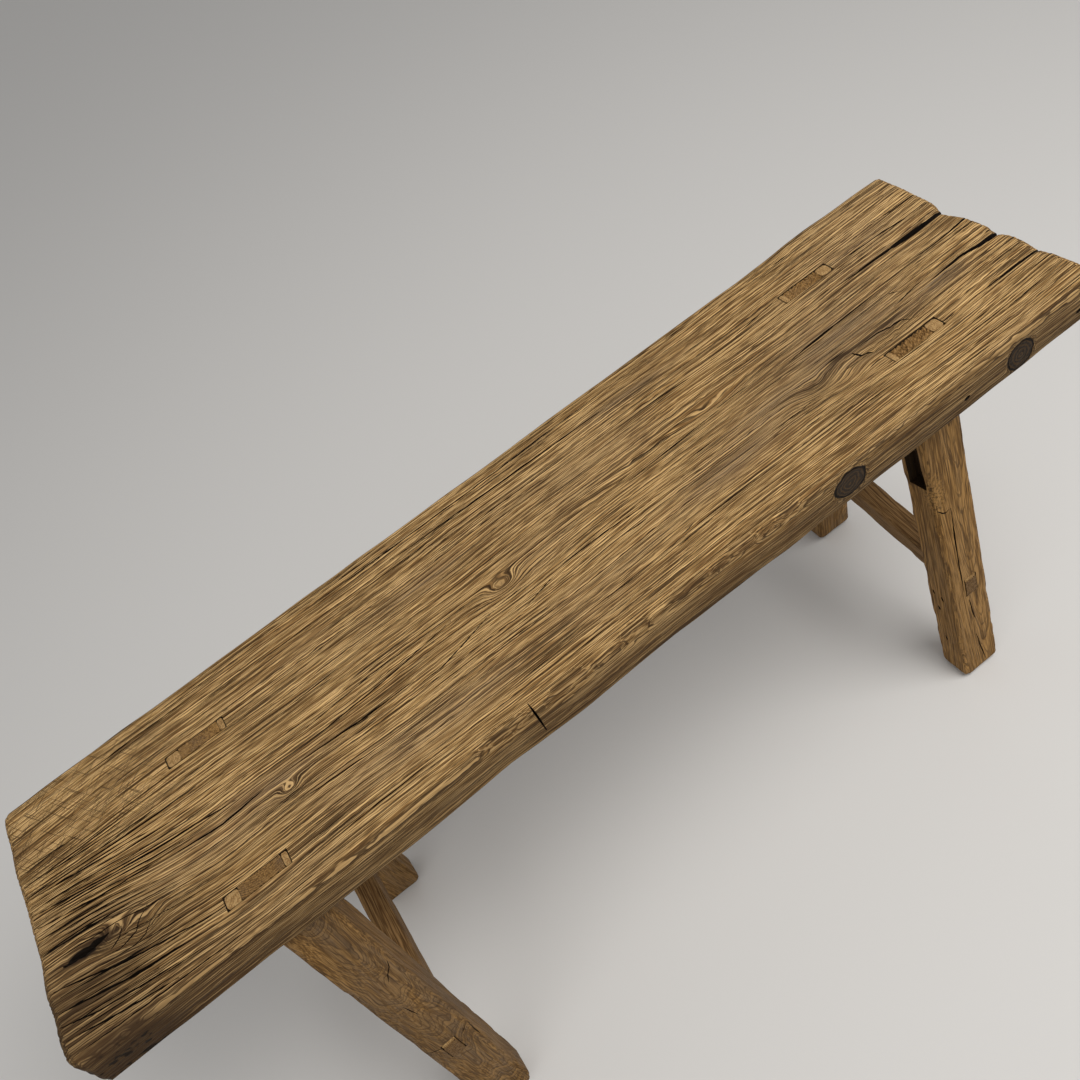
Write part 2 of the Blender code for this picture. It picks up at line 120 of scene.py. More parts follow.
# Cracks along the grain, as paths on the seat's top
Crack = namedtuple("Crack", "path width depth")
SEAT_CRACKS = (
    Crack(((-0.470, 0.112), (-0.400, 0.1135), (-0.330, 0.112)), 0.0016, 0.005),
    Crack(((-0.200, 0.114), (-0.012, 0.113), (0.176, 0.115)), 0.0018, 0.006),
    Crack(((-0.110, 0.100), (0.020, 0.0975), (0.150, 0.094)), 0.0020, 0.008),
    Crack(((-0.080, 0.073), (-0.002, 0.0755), (0.076, 0.074)), 0.0014, 0.004),
    Crack(((0.160, 0.064), (0.220, 0.059)), 0.0016, 0.006),
    Crack(((0.412, 0.064), (0.456, 0.062), (0.500, 0.058)), 0.0018, 0.008),
    Crack(((0.288, -0.001), (0.343, 0.0018), (0.398, 0.003)), 0.0022, 0.010),
    Crack(((0.100, 0.000), (0.208, 0.004)), 0.0016, 0.005),
    Crack(((0.002, -0.029), (0.0515, -0.0298), (0.101, -0.033)), 0.0015, 0.005),
    Crack(((-0.267, -0.017), (-0.1845, -0.0135), (-0.102, -0.004)), 0.0017, 0.006),
    Crack(((-0.272, -0.028), (-0.2145, -0.032), (-0.157, -0.033)), 0.0018, 0.006),
    Crack(((-0.286, -0.061), (-0.195, -0.067)), 0.0014, 0.004),
    Crack(((-0.300, -0.112), (-0.236, -0.110), (-0.172, -0.109)), 0.0014, 0.004),
    Crack(((-0.520, 0.012), (-0.426, -0.006), (-0.332, -0.019)), 0.0022, 0.008),
    Crack(((-0.520, -0.001), (-0.4635, -0.013), (-0.407, -0.021)), 0.0018, 0.007),
    Crack(((-0.392, -0.026), (-0.350, -0.031), (-0.308, -0.028)), 0.0024, 0.008),
    Crack(((-0.520, -0.063), (-0.453, -0.083), (-0.386, -0.097)), 0.0020, 0.008),
    Crack(((-0.520, -0.083), (-0.459, -0.0965), (-0.398, -0.104)), 0.0022, 0.008),
    Crack(((-0.520, -0.107), (-0.4725, -0.1165), (-0.425, -0.124)), 0.0018, 0.007),
    Crack(((0.284, 0.068), (0.336, 0.074)), 0.0014, 0.006),
    Crack(((-0.045, -0.043), (-0.010, -0.034)), 0.0013, 0.004),
    Crack(((0.058, -0.045), (0.087, -0.046)), 0.0013, 0.004),
    Crack(((0.096, -0.083), (0.111, -0.081)), 0.0012, 0.003),
    Crack(((-0.261, -0.003), (-0.185, 0.002), (-0.131, 0.002)), 0.0013, 0.004),
    Crack(((-0.162, -0.040), (-0.129, -0.039), (-0.108, -0.034), (-0.068, -0.024)), 0.0015, 0.005),
    Crack(((-0.260, 0.030), (-0.205, 0.031)), 0.0012, 0.004),
    Crack(((-0.523, -0.012), (-0.460, -0.021)), 0.0015, 0.006),
    Crack(((-0.522, -0.027), (-0.476, -0.033), (-0.441, -0.037)), 0.0016, 0.006),
    Crack(((-0.522, -0.094), (-0.491, -0.103), (-0.456, -0.1085), (-0.420, -0.113)), 0.0020, 0.008),
    Crack(((-0.524, 0.030), (-0.460, 0.020), (-0.405, 0.012)), 0.0015, 0.005),
    Crack(((-0.522, 0.046), (-0.470, 0.039), (-0.425, 0.035)), 0.0014, 0.005),
    Crack(((-0.521, 0.062), (-0.455, 0.056)), 0.0012, 0.004),
    Crack(((-0.429, -0.049), (-0.44, -0.058), (-0.445, -0.065), (-0.461, -0.069), (-0.474, -0.065)), 0.0017, 0.005),
    Crack(((-0.453, -0.050), (-0.459, -0.060), (-0.468, -0.064)), 0.0015, 0.005),
    Crack(((-0.431, -0.064), (-0.439, -0.073), (-0.449, -0.074)), 0.0014, 0.005),
    Crack(((0.330, -0.038), (0.334, -0.045), (0.349, -0.051)), 0.0034, 0.008),
    Crack(((0.404, -0.073), (0.421, -0.072)), 0.0016, 0.004),
    Crack(((0.403, -0.006), (0.414, -0.013)), 0.0018, 0.004),
    Crack(((-0.508, -0.049), (-0.488, -0.048), (-0.466, -0.048)), 0.0085, 0.010),
    Crack(((0.336, -0.036), (0.363, -0.037), (0.389, -0.041), (0.401, -0.051)), 0.0016, 0.008),
    Crack(((0.395, -0.024), (0.425, -0.020), (0.437, -0.019)), 0.0014, 0.006),
)
# Cracks and splits that open at the right end, from the mouth inwards
END_SPLITS = (
    Crack(((0.545, 0.035), (0.517, 0.036), (0.455, 0.037), (0.386, 0.039)), 0.0072, 0.036),
    Crack(((0.545, 0.0125), (0.499, 0.009), (0.477, 0.008), (0.440, 0.010)), 0.0030, 0.016),
    Crack(((0.545, -0.031), (0.499, -0.027), (0.479, -0.0235), (0.438, -0.026)), 0.0064, 0.030),
    Crack(((0.545, -0.0745), (0.489, -0.072), (0.449, -0.073)), 0.0042, 0.024),
    Crack(((0.545, 0.077), (0.495, 0.078), (0.456, 0.083)), 0.0024, 0.012),
    Crack(((0.545, 0.0585), (0.502, 0.057)), 0.0018, 0.008),
    Crack(((0.545, -0.086), (0.500, -0.085), (0.484, -0.084)), 0.0016, 0.008),
)
# Cutters of cracks: the least distance between two in one cut, and their step, rise above the face and wander
CRACK_APART = 0.0035
BLADE_STEP = 0.004
BLADE_LIFT = 0.0015
BLADE_WANDER = 0.00035
CRACK_SEED, SPLIT_SEED, NAIL_SEED = 40, 80, 120
LEG_CRACK_SEED, LEG_PIT_SEED = 11, 17
# Fine checks: scattered over the seat, with the two exponents that crowd them towards its ends
CHECK_COUNT = 200
CHECK_CROWDING = (0.60, 0.55)
CHECK_MARGIN, CHECK_END = 0.006, 0.004
CHECK_SEED = 5
CHECK_LENGTH = (0.018, 0.075)
CHECK_WIDTH = (0.0008, 0.0013)
CHECK_DEPTH = (0.002, 0.004)
CHECK_REACH = 0.126
# Deep grooves along the growth lines at the left end: first row, last row and step, and where they start
GROOVE_SEED = 8
GROOVE_ROWS = (-0.128, 0.050, 0.0050)
GROOVE_START = (0.005, 0.030)
GROOVE_WANDER = 0.001
GROOVE_LENGTH = (0.05, 0.16)
GROOVE_WIDTH = (0.0010, 0.0018)
GROOVE_DEPTH = (0.004, 0.007)
# A saw cut across the front arris
SAW_CUT = Crack(((-0.094, -0.148), (-0.0945, -0.122)), 0.0044, 0.060)
# Nail holes in the front edge, by x and height from the top
NAIL_HOLES = (
    Crack(((0.364, -0.0275), (0.371, -0.0265)), 0.0055, 0.008),
    Crack(((0.498, -0.0275), (0.505, -0.0265)), 0.0055, 0.008),
)

Patch = namedtuple("Patch", "x y length breadth amount")
# Knots that bend the growth lines: on the top by x and y, on the front edge by x and height below the top
Knot = namedtuple("Knot", "x across length breadth rise")
TOP_KNOTS = (
    Knot(-0.047, -0.0065, 0.016, 0.0085, 0.016),
    Knot(-0.289, -0.044, 0.010, 0.0060, 0.011),
    Knot(0.284, -0.046, 0.024, 0.0130, 0.0095),
    Knot(0.305, -0.060, 0.018, 0.0090, 0.0060),
    Knot(0.205, 0.012, 0.045, 0.0090, 0.010),
    Knot(0.110, 0.010, 0.050, 0.0080, 0.0060),
    Knot(-0.463, -0.053, 0.014, 0.0090, 0.016),
    Knot(-0.438, -0.064, 0.018, 0.0120, 0.0118),
)
EDGE_KNOTS = (
    Knot(0.234, -0.019, 0.0165, 0.0135, 0.032),
    Knot(0.431, -0.025, 0.0150, 0.0145, 0.032),
)
# How far an edge knot's rings reach, in squared half lengths
EDGE_KNOT_REACH = 1.69
# Places that the growth lines part around
GRAIN_BENDS = (
    Patch(-0.455, -0.083, 0.045, 0.026, 0.0060),
    Patch(-0.345, -0.096, 0.050, 0.020, 0.0030),
    Patch(0.365, -0.055, 0.060, 0.024, 0.0040),
    Patch(-0.047, -0.007, 0.028, 0.014, 0.0030),
)
# Towards the left end the growth lines swing back by this much, fully in front of the first place, not at all
# behind the second
FAN_AMOUNT = 0.028
FAN_START, FAN_END = -0.34, -0.55
FAN_FRONT, FAN_BACK = -0.030, 0.065
# Curled fibres beside the hole at the left end, where no straight groove runs
CURL = Patch(-0.450, -0.060, 0.030, 0.012, 1.0)
CURL_EDGE = 0.35

# Soft patches on the seat: grey weathering, dark stain, paler wood where a splinter has gone, and hollows
# worn or broken out of its top. The first two stain patches, at the left end's front corner, are partly
# painted shade besides dirt.
GREY_PATCHES = (
    Patch(0.450, -0.032, 0.026, 0.007, 1.0),
    Patch(0.172, -0.056, 0.060, 0.015, 0.75),
    Patch(0.240, -0.030, 0.055, 0.014, 0.60),
    Patch(-0.104, 0.055, 0.050, 0.010, 0.60),
    Patch(0.157, 0.092, 0.050, 0.008, 0.65),
    Patch(-0.133, -0.082, 0.070, 0.015, 0.60),
    Patch(-0.300, -0.030, 0.060, 0.012, 0.45),
    Patch(-0.430, 0.022, 0.060, 0.030, -0.40),
    Patch(0.340, -0.010, 0.080, 0.040, 0.50),
    Patch(0.430, 0.050, 0.090, 0.030, 0.40),
)
STAIN_AND_SHADE_PATCHES = (
    Patch(-0.490, -0.133, 0.045, 0.0075, 1.00),
    Patch(-0.525, -0.095, 0.105, 0.060, 0.85),
    Patch(0.300, -0.020, 0.110, 0.060, 0.22),
    Patch(-0.440, -0.075, 0.050, 0.030, 0.25),
    Patch(-0.486, -0.048, 0.018, 0.0055, 1.45),
    Patch(0.452, -0.033, 0.022, 0.006, 0.60),
    Patch(-0.380, 0.105, 0.016, 0.010, 0.45),
    Patch(0.178, 0.090, 0.040, 0.007, 0.40),
    Patch(0.318, -0.0320, 0.016, 0.0042, 0.90),
    Patch(0.350, -0.0345, 0.030, 0.0034, 1.00),
    Patch(0.386, -0.0345, 0.018, 0.0030, 0.80),
    Patch(0.284, -0.046, 0.020, 0.0100, 0.35),
    Patch(0.470, 0.006, 0.030, 0.007, 0.40),
    Patch(-0.047, -0.0065, 0.010, 0.005, 0.45),
    Patch(-0.463, -0.053, 0.010, 0.006, 0.35),
    Patch(-0.340, -0.112, 0.030, 0.004, 0.45),
)
FRESH_PATCHES = (
    Patch(0.368, -0.047, 0.036, 0.0080, 1.3),
    Patch(0.300, -0.052, 0.022, 0.0100, 0.6),
    Patch(-0.372, -0.108, 0.016, 0.0055, 0.8),
    Patch(-0.288, -0.086, 0.024, 0.0035, 0.9),
)
HOLLOWS = (
    Patch(-0.486, -0.048, 0.024, 0.0080, 0.0022),
    Patch(0.366, -0.046, 0.038, 0.0085, 0.0030),
    Patch(-0.480, -0.130, 0.060, 0.0100, 0.0012),
)
# Stretches where the front arris is broken away, by their middle and half length
FRONT_CHIPS = ((-0.122, 0.03), (-0.06, 0.028), (0.01, 0.02), (0.066, 0.03), (0.122, 0.022), (0.172, 0.016))
CHIP_DEPTH = 0.006
# Radius of the seat's arrises, what uneven wear adds, and what the front and the top add
SEAT_ARRIS, SEAT_ARRIS_WEAR, FRONT_ARRIS, TOP_ARRIS = 0.0032, 0.0026, 0.0018, 0.0014
# Depth of the growth lines and crumbs at the ends and of the dents all over, and how far in the wear reaches
END_NOTCH, END_CRUMBLE, DENT_DEPTH = 0.0022, 0.0005, 0.0008
END_REACH, TIP_REACH, EDGE_REACH = 0.09, 0.010, 0.03

# Patterns of the wood: waves per metre along and across the grain, and their detail
FLECK = (38, 760, 1.0)
THREAD = (7, 300, 1.0)
STREAK = (2.2, 95, 2.0)
MOTTLE = (4.5, 15, 2.0)
PORE = (9, 1050, 0.0)
RAGGED = (75, 170, 2.0)
UNSTEADY = (70, 150, 1.0)
CRUMBS = 360.0
# Shares of fleck, thread, streak and mottle in the tone, and the sums that are brown and pale
TONE_SHARES = (0.66, 0.40, 0.17, 0.12)
TONE_SPAN = (0.56, 0.78)
# Shares of a ring's width over which its dark line and its pale rib come and go, and the finer lines per ring; the
# rib is a painted highlight of light on the raised grain, and partly paler earlywood
LINE_COMES, LINE_GOES = (0.77, 0.83), (0.94, 0.985)
RIB_HIGHLIGHT_COMES, RIB_HIGHLIGHT_GOES = (0.0, 0.06), (0.20, 0.42)
FINE_LINES = 2.7
# Directions of the scratches at the seat's left end, in radians from its length, and their waves per metre
SCRATCH_TURNS = (0.75, -0.95)
SCRATCH_ALONG, SCRATCH_ACROSS = 30, 900
# Knots in the seat's front edge: how far they reach in, and their rings
KNOT_DEPTH = 0.02
KNOT_ROUGH, KNOT_RINGS = 110.0, 22.0
SPECULAR_LEVEL = 0.10
BUMP_DEPTH = 0.0010

# Empty mortise of a lost rail, in the front right leg's inner face
OLD_MORTISE_LEG = "front_right"
OLD_MORTISE_LOW, OLD_MORTISE_HIGH = 0.320, 0.420
OLD_MORTISE_WIDTH, OLD_MORTISE_DEPTH = 0.020, 0.014

# Camera: where it stands, and the way its picture's right and lower sides face
CAMERA_PLACE = Vector((-0.11875, -0.58250, 1.16133))
CAMERA_RIGHT = Vector((0.79151, -0.52150, -0.31866))
CAMERA_DOWN = Vector((-0.59599, -0.54323, -0.59135))
CAMERA_LENS, CAMERA_SENSOR = 33.99, 36.0
# Light: where each lamp stands and its size, and the place that both face
KEY_PLACE, KEY_SIZE = (0.9, -0.9, 2.5), 1.5
FILL_PLACE, FILL_SIZE = (-1.9, -1.4, 1.7), 1.8
LIGHT_AIM = (0, 0, 0.3)
FLOOR_HALF, FLOOR_ROUGHNESS = 15, 0.9


def smooth_step(low, high, value):
    """0 below low and 1 above high, eased between them."""
    share = np.clip((value - low) / (high - low), 0, 1)
    return share * share * (3 - 2 * share)


def soft_noise(a, b, seed):
    """Smooth noise from 0 to 1, with about one rise or fall per unit of a and of b."""
    table = np.random.default_rng(seed).random((NOISE_CELLS, NOISE_CELLS))
    a_cell, b_cell = np.floor(a).astype(int), np.floor(b).astype(int)
    a_share, b_share = smooth_step(0, 1, a - a_cell), smooth_step(0, 1, b - b_cell)

    def between(row):
        cells = table[row % NOISE_CELLS, b_cell % NOISE_CELLS]
        next_cells = table[row % NOISE_CELLS, (b_cell + 1) % NOISE_CELLS]
        return cells * (1 - b_share) + next_cells * b_share

    return between(a_cell) * (1 - a_share) + between(a_cell + 1) * a_share


def soft_interp(value, outline):
    """The outline's inset at a place, with its corners smoothed."""
    shifts = np.linspace(-OUTLINE_SPREAD, OUTLINE_SPREAD, 5)
    return sum(np.interp(value + shift, outline.at, outline.inset) for shift in shifts) / len(shifts)


def hump(x, y, patch):
    """A soft oval that is 1 in the patch's middle."""
    return np.exp(-(((x - patch.x) / patch.length) ** 2) - ((y - patch.y) / patch.breadth) ** 2)


class Tree:
    """Adds nodes to a material or to a geometry tree, and links them."""

    def __init__(self, tree):
        self.tree = tree

    def put(self, socket, value):
        """Links a value to a socket, or sets it there."""
        if isinstance(value, bpy.types.NodeSocket):
            self.tree.links.new(value, socket)
        else:
            socket.default_value = value

    def add(self, kind, inputs=None, **settings):
        node = self.tree.nodes.new(kind)
        for name, value in settings.items():
            setattr(node, name, value)
        for key, value in (inputs or {}).items():
            self.put(node.inputs[key], value)
        return node

    def math(self, operation, *values):
        return self.add("ShaderNodeMath", dict(enumerate(values)), operation=operation).outputs[0]

    def total(self, parts, start=0.0):
        """The start and the sum of the values, each times its share."""
        for value, share in parts:
            start = self.math("MULTIPLY_ADD", value, share, start)
        return start

    def vector(self, operation, *values):
        node = self.add("ShaderNodeVectorMath", dict(enumerate(values)), operation=operation)
        return node.outputs["Value" if operation in ("LENGTH", "DISTANCE", "DOT_PRODUCT") else "Vector"]

    def scaled(self, vector, value):
        node = self.add("ShaderNodeVectorMath", {0: vector}, operation="SCALE")
        self.put(node.inputs["Scale"], value)
        return node.outputs["Vector"]

    def noise(self, place, detail=2.0, roughness=0.5):
        inputs = {"Vector": place, "Scale": 1.0, "Detail": detail, "Roughness": roughness}
        return self.add("ShaderNodeTexNoise", inputs).outputs[0]

    def span(self, value, low, high, to_low=0.0, to_high=1.0):
        """The value's share of the way from low to high, eased and held at both ends."""
        inputs = {"Value": value, "From Min": low, "From Max": high, "To Min": to_low, "To Max": to_high}
        return self.add("ShaderNodeMapRange", inputs, interpolation_type="SMOOTHSTEP").outputs[0]

    def band(self, value, comes, goes):
        """1 between two spans, in which it comes and goes, and 0 outside them."""
        return self.math("MULTIPLY", self.span(value, *comes), self.span(value, *goes, 1.0, 0.0))

    def split(self, vector):
        return self.add("ShaderNodeSeparateXYZ", {0: vector}).outputs

    def join(self, x, y, z):
        return self.add("ShaderNodeCombineXYZ", {0: x, 1: y, 2: z}).outputs[0]

    def mix(self, factor, first, second):
        node = self.add("ShaderNodeMix", data_type="RGBA")
        for index, value in ((0, factor), (6, first), (7, second)):
            self.put(node.inputs[index], value)
        return node.outputs[2]


def rgba(colour):
    return (*colour, 1.0)


class WoodShader:
    """Mixes the colour and the finest relief of old wood, from patterns that run with its grain."""

    def __init__(self, tree, look):
        self.tree, self.look = tree, look
        self.place = tree.add("ShaderNodeTexCoord").outputs["Object"]
        self.grain = self.attribute("grain", "Vector")
        patterns = (FLECK, THREAD, STREAK, MOTTLE)
        self.fleck, self.thread, self.streak, self.mottle = (self.pattern(*shape) for shape in patterns)
        self.ragged = tree.math("ADD", self.pattern(*RAGGED), -0.5)
        self.crust = self.attribute("crust")
        self.lengthwise = tree.math("MULTIPLY_ADD", self.attribute("end"), -0.8, 1.0)
        self.rib_highlight = 0.0
        self.hollows = []

    def attribute(self, name, output="Fac"):
        """What the mesh keeps under a name."""
        node = self.tree.add("ShaderNodeAttribute", attribute_name=name, attribute_type="GEOMETRY")
        return node.outputs[output]

    def pattern(self, along, across, detail):
        """Noise that is stretched along the grain."""
        return self.tree.noise(self.tree.vector("MULTIPLY", self.grain, (along, across, across)), detail)

    def paint(self, colour, mark, tint, amount=1.0):
        """Lays a tint over the colour where the mark is."""
        return self.tree.mix(self.tree.math("MULTIPLY", mark, amount), colour, rgba(tint))

    def tones(self):
        """Brown to pale along the grain, and grey where the wood has weathered."""
        tree, look = self.tree, self.look
        patterns = (self.fleck, self.thread, self.streak, self.mottle)
        tone = tree.span(tree.total(zip(patterns, TONE_SHARES)), *TONE_SPAN)
        ramp = tree.add("ShaderNodeValToRGB", {"Fac": tone})
        stops = ramp.color_ramp.elements
        stops[0].color = rgba(look.brown)
        stops[1].color = rgba(look.pale)
        stops.new(0.5).color = rgba(look.golden)
        grey = tree.math("MULTIPLY", self.attribute("weather"), tree.span(self.thread, 0.35, 0.6, 0.5, 1.0))
        return self.paint(ramp.outputs["Color"], grey, look.grey)

    def breaks(self, colour):
        """Fresh wood where splinters came away, and chips along the arris with pale lips: a painted highlight along
        the chips' edges, partly fresh splintered wood.
        """
        tree, look = self.tree, self.look
        fresh = tree.math("MULTIPLY_ADD", self.ragged, 0.7, self.attribute("fresh"))
        fresh = tree.span(fresh, 0.28, 0.45)
        fresh = tree.math("MULTIPLY", fresh, tree.span(self.fleck, 0.35, 0.6, 0.45, 0.9))
        colour = tree.mix(fresh, colour, tree.mix(self.mottle, rgba(look.golden), rgba(look.pale)))
        chip = tree.math("MULTIPLY_ADD", self.ragged, 0.9, self.attribute("chip"))
        colour = self.paint(colour, tree.span(chip, 0.46, 0.60), look.stain, 0.30)
        # Painted highlight: a thin pale line along the edge of each chip.
        lip_highlight = tree.math("ABSOLUTE", tree.math("SUBTRACT", chip, 0.45))
        return self.paint(colour, tree.span(lip_highlight, 0.045, 0.015), look.pale, 0.55)

    def growth_lines(self, colour):
        """Pale ribs painted as a highlight on the raised grain and partly paler earlywood, dark growth lines, finer
        lines between them, and pores.
        """
        tree, look = self.tree, self.look
        wobble = tree.math("SUBTRACT", self.pattern(*UNSTEADY), 0.5)
        ring = tree.math("MULTIPLY_ADD", wobble, look.wobble, self.attribute("ring"))
        phase = tree.math("FRACT", ring)
        drawn = tree.math("MULTIPLY_ADD", self.crust, -0.6, 1.0)
        drawn = tree.math("MULTIPLY", self.attribute("line"), drawn)
        self.rib_highlight = tree.math("MULTIPLY", tree.band(phase, RIB_HIGHLIGHT_COMES, RIB_HIGHLIGHT_GOES), drawn)
        line = tree.math("MULTIPLY", tree.band(phase, LINE_COMES, LINE_GOES), drawn)
        line = tree.math("MULTIPLY", line, tree.span(self.fleck, 0.30, 0.45, 0.7, 1.0))
        fine = tree.math("MULTIPLY_ADD", ring, FINE_LINES, tree.math("MULTIPLY", self.streak, 1.6))
        fine = tree.math("ABSOLUTE", tree.math("SUBTRACT", tree.math("FRACT", fine), 0.5))
        fine = tree.math("MULTIPLY", tree.span(fine, 0.16, 0.06), tree.span(self.thread, 0.32, 0.46))
        pore = tree.math("MULTIPLY", tree.span(self.pattern(*PORE), 0.58, 0.64), self.lengthwise)
        self.hollows += [(line, -1.0), (fine, -0.4), (pore, -0.5)]
        # Painted highlight: the rib band is lightened towards pale, standing for light on the raised grain.
        colour = self.paint(colour, self.rib_highlight, look.pale, 0.7)
        colour = self.paint(colour, fine, look.line, look.line_shade * 0.85)
        colour = self.paint(colour, pore, look.line, look.pore_shade)
        return self.paint(colour, line, look.line, look.line_shade)

    def stains(self, colour):
        """Dirt, with painted shade on the seat and the front left leg, which keeps off the ribs where it is thin,
        brightening their painted highlight, and turns black where it is thick.
        """
        tree, look = self.tree, self.look
        stain = tree.math("MULTIPLY", self.attribute("stain"), tree.span(self.streak, 0.3, 0.6, 0.75, 1.0))
        clean = tree.math("MULTIPLY", self.rib_highlight, tree.span(stain, 0.6, 1.0, -0.45, 0.0))
        stain = tree.math("MULTIPLY", stain, tree.math("ADD", clean, 1.0))
        colour = self.paint(colour, tree.math("MINIMUM", stain, 0.94), look.stain)
        black = tree.math("MULTIPLY_ADD", self.ragged, 1.1, stain)
        return self.paint(colour, tree.span(black, 1.08, 1.22), look.crack, 0.9)

    def burl(self, colour):
        """The crumbs of a burl lightened as a painted highlight, and its pits darkened as painted shade."""
        tree, look = self.tree, self.look
        crumbs = tree.noise(tree.scaled(self.place, CRUMBS), 4.0, 0.65)
        # Painted highlight on the raised crumbs, and painted shade in the pits between them.
        crumb_highlight = tree.math("MULTIPLY", self.crust, tree.span(crumbs, 0.56, 0.42))
        shaded_pit = tree.math("MULTIPLY", self.crust, tree.span(crumbs, 0.48, 0.66))
        self.hollows.append((shaded_pit, -2.0))
        return self.paint(self.paint(colour, crumb_highlight, look.pale, 0.6), shaded_pit, look.line, 0.8)

    def scratches(self, colour):
        """Thin scratches across the grain, in two directions."""
        tree = self.tree
        marks = 0.0
        for turn in SCRATCH_TURNS:
            way = Vector((math.cos(turn), math.sin(turn), 0))
            aside = Vector((-way.y, way.x, 0))
            along = tree.vector("DOT_PRODUCT", self.grain, way * SCRATCH_ALONG)
            across = tree.vector("DOT_PRODUCT", self.grain, aside * SCRATCH_ACROSS)
            mark = tree.span(tree.noise(tree.join(along, across, turn), 0.0), 0.64, 0.72)
            marks = tree.math("MAXIMUM", marks, mark)
        scratch = tree.math("MULTIPLY", self.attribute("scratch"), marks)
        self.hollows.append((scratch, -0.5))
        return self.paint(colour, scratch, self.look.line, 0.65)

    def edge_knot(self, colour, knot):
        """A knot in the seat's front edge, with rings and an open rim painted black as shade in its gap."""
        tree, look = self.tree, self.look
        middle = (SEAT_MIDDLE.x + knot.x, SEAT_LOW.y, SEAT_HIGH.z + knot.across)
        size = (knot.length, KNOT_DEPTH, knot.breadth)
        away = tree.vector("DIVIDE", tree.vector("SUBTRACT", self.place, middle), size)
        rough = tree.math("SUBTRACT", tree.noise(tree.scaled(self.place, KNOT_ROUGH)), 0.5)
        away = tree.math("MULTIPLY_ADD", rough, 0.28, tree.vector("LENGTH", away))
        rings = tree.math("MULTIPLY_ADD", rough, 9.0, tree.math("MULTIPLY", away, KNOT_RINGS))
        rings = tree.span(tree.math("SINE", rings), -0.4, 1.0, 0.05, 0.30)
        heart = tree.mix(rings, rgba(look.knot), rgba(look.brown))
        colour = tree.mix(tree.span(away, 1.02, 0.96), colour, heart)
        # Painted shade: the open rim's gap is painted the crack colour and sunk in the relief.
        rim = tree.span(tree.math("ABSOLUTE", tree.math("SUBTRACT", away, 1.0)), 0.12, 0.03)
        self.hollows.append((rim, -2.0))
        return self.paint(colour, rim, look.crack)

    def relief(self):
        """Raised fibres, and the hollows of all that has been drawn."""
        tree = self.tree
        raised = tree.math("MULTIPLY", self.lengthwise, 0.6)
        fibres = tree.math("MULTIPLY", tree.math("ADD", self.fleck, self.thread), raised)
        height = tree.total(self.hollows, fibres)
        inputs = {"Strength": self.look.bump, "Distance": BUMP_DEPTH, "Height": height}
        return tree.add("ShaderNodeBump", inputs).outputs["Normal"]


def wood_material(name, look, knots=()):
    """Old wood: tones that run with the grain, growth lines with painted highlights, pores, stains with painted
    shade, knots, and cracks painted dark as shade.
    """
    material = bpy.data.materials.new(name)
    material.use_nodes = True
    tree = Tree(material.node_tree)
    wood = WoodShader(tree, look)
    colour = wood.tones()
    for layer in (wood.breaks, wood.growth_lines, wood.stains, wood.burl, wood.scratches):
        colour = layer(colour)
    for knot in knots:
        colour = wood.edge_knot(colour, knot)
    shader = material.node_tree.nodes["Principled BSDF"]
    # Painted shade, with some dirt: the walls of cracks, pits, holes and joints are painted towards the crack
    # colour.
    tree.put(shader.inputs["Base Color"], wood.paint(colour, wood.attribute("crack"), look.crack))
    rough = tree.span(wood.thread, 0.3, 0.7, look.roughness + 0.08, look.roughness - 0.08)
    tree.put(shader.inputs["Roughness"], rough)
    shader.inputs["Specular IOR Level"].default_value = SPECULAR_LEVEL
    tree.put(shader.inputs["Normal"], wood.relief())
    return material


def new_object(name, data):
    """A new object in the scene with the given mesh, lamp or camera."""
    obj = bpy.data.objects.new(name, data)
    bpy.context.scene.collection.objects.link(obj)
    return obj


def mesh_from(name, points, faces):
    mesh = bpy.data.meshes.new(name)
    mesh.from_pydata([tuple(point) for point in points], [], [tuple(face) for face in faces])
    return mesh


def positions(mesh):
    """The places of a mesh's points, as rows of three numbers."""
    points = np.empty(len(mesh.vertices) * 3, np.float32)
    mesh.vertices.foreach_get("co", points)
    return points.reshape(-1, 3).astype(float)


def set_positions(mesh, points):
    mesh.vertices.foreach_set("co", np.asarray(points, np.float32).ravel())
    mesh.update()


def store(mesh, name, values, domain="POINT"):
    """Keeps a number or a vector for every point, or every face, of the mesh."""
    values = np.asarray(values, np.float32)
    kind, key = ("FLOAT", "value") if values.ndim == 1 else ("FLOAT_VECTOR", "vector")
    attribute = mesh.attributes.get(name) or mesh.attributes.new(name, kind, domain)
    attribute.data.foreach_set(key, values.ravel())


def stored(mesh, name, width):
    """What a mesh keeps for its points, as rows of so many numbers."""
    attribute = mesh.attributes[name]
    values = np.empty(len(mesh.vertices) * width, np.float32)
    attribute.data.foreach_get("value" if width == 1 else "vector", values)
    return values.reshape(-1, width).astype(float)


def bake_modifiers(obj):
    """Turns what the object's modifiers give into its own plain mesh."""
    graph = bpy.context.evaluated_depsgraph_get()
    mesh = bpy.data.meshes.new_from_object(obj.evaluated_get(graph))
    obj.modifiers.clear()
    obj.data = mesh
    return mesh


def combine(obj, others, operation):
    """Cuts the others out of the object, or joins them to it, and removes them."""
    for other in others:
        modifier = obj.modifiers.new(other.name, "BOOLEAN")
        modifier.object = other
        modifier.operation = operation
        modifier.solver = "MANIFOLD"
    mesh = bake_modifiers(obj)
    for other in others:
        bpy.data.objects.remove(other)
    if "custom_normal" in mesh.attributes:
        mesh.attributes.remove(mesh.attributes["custom_normal"])
    return mesh


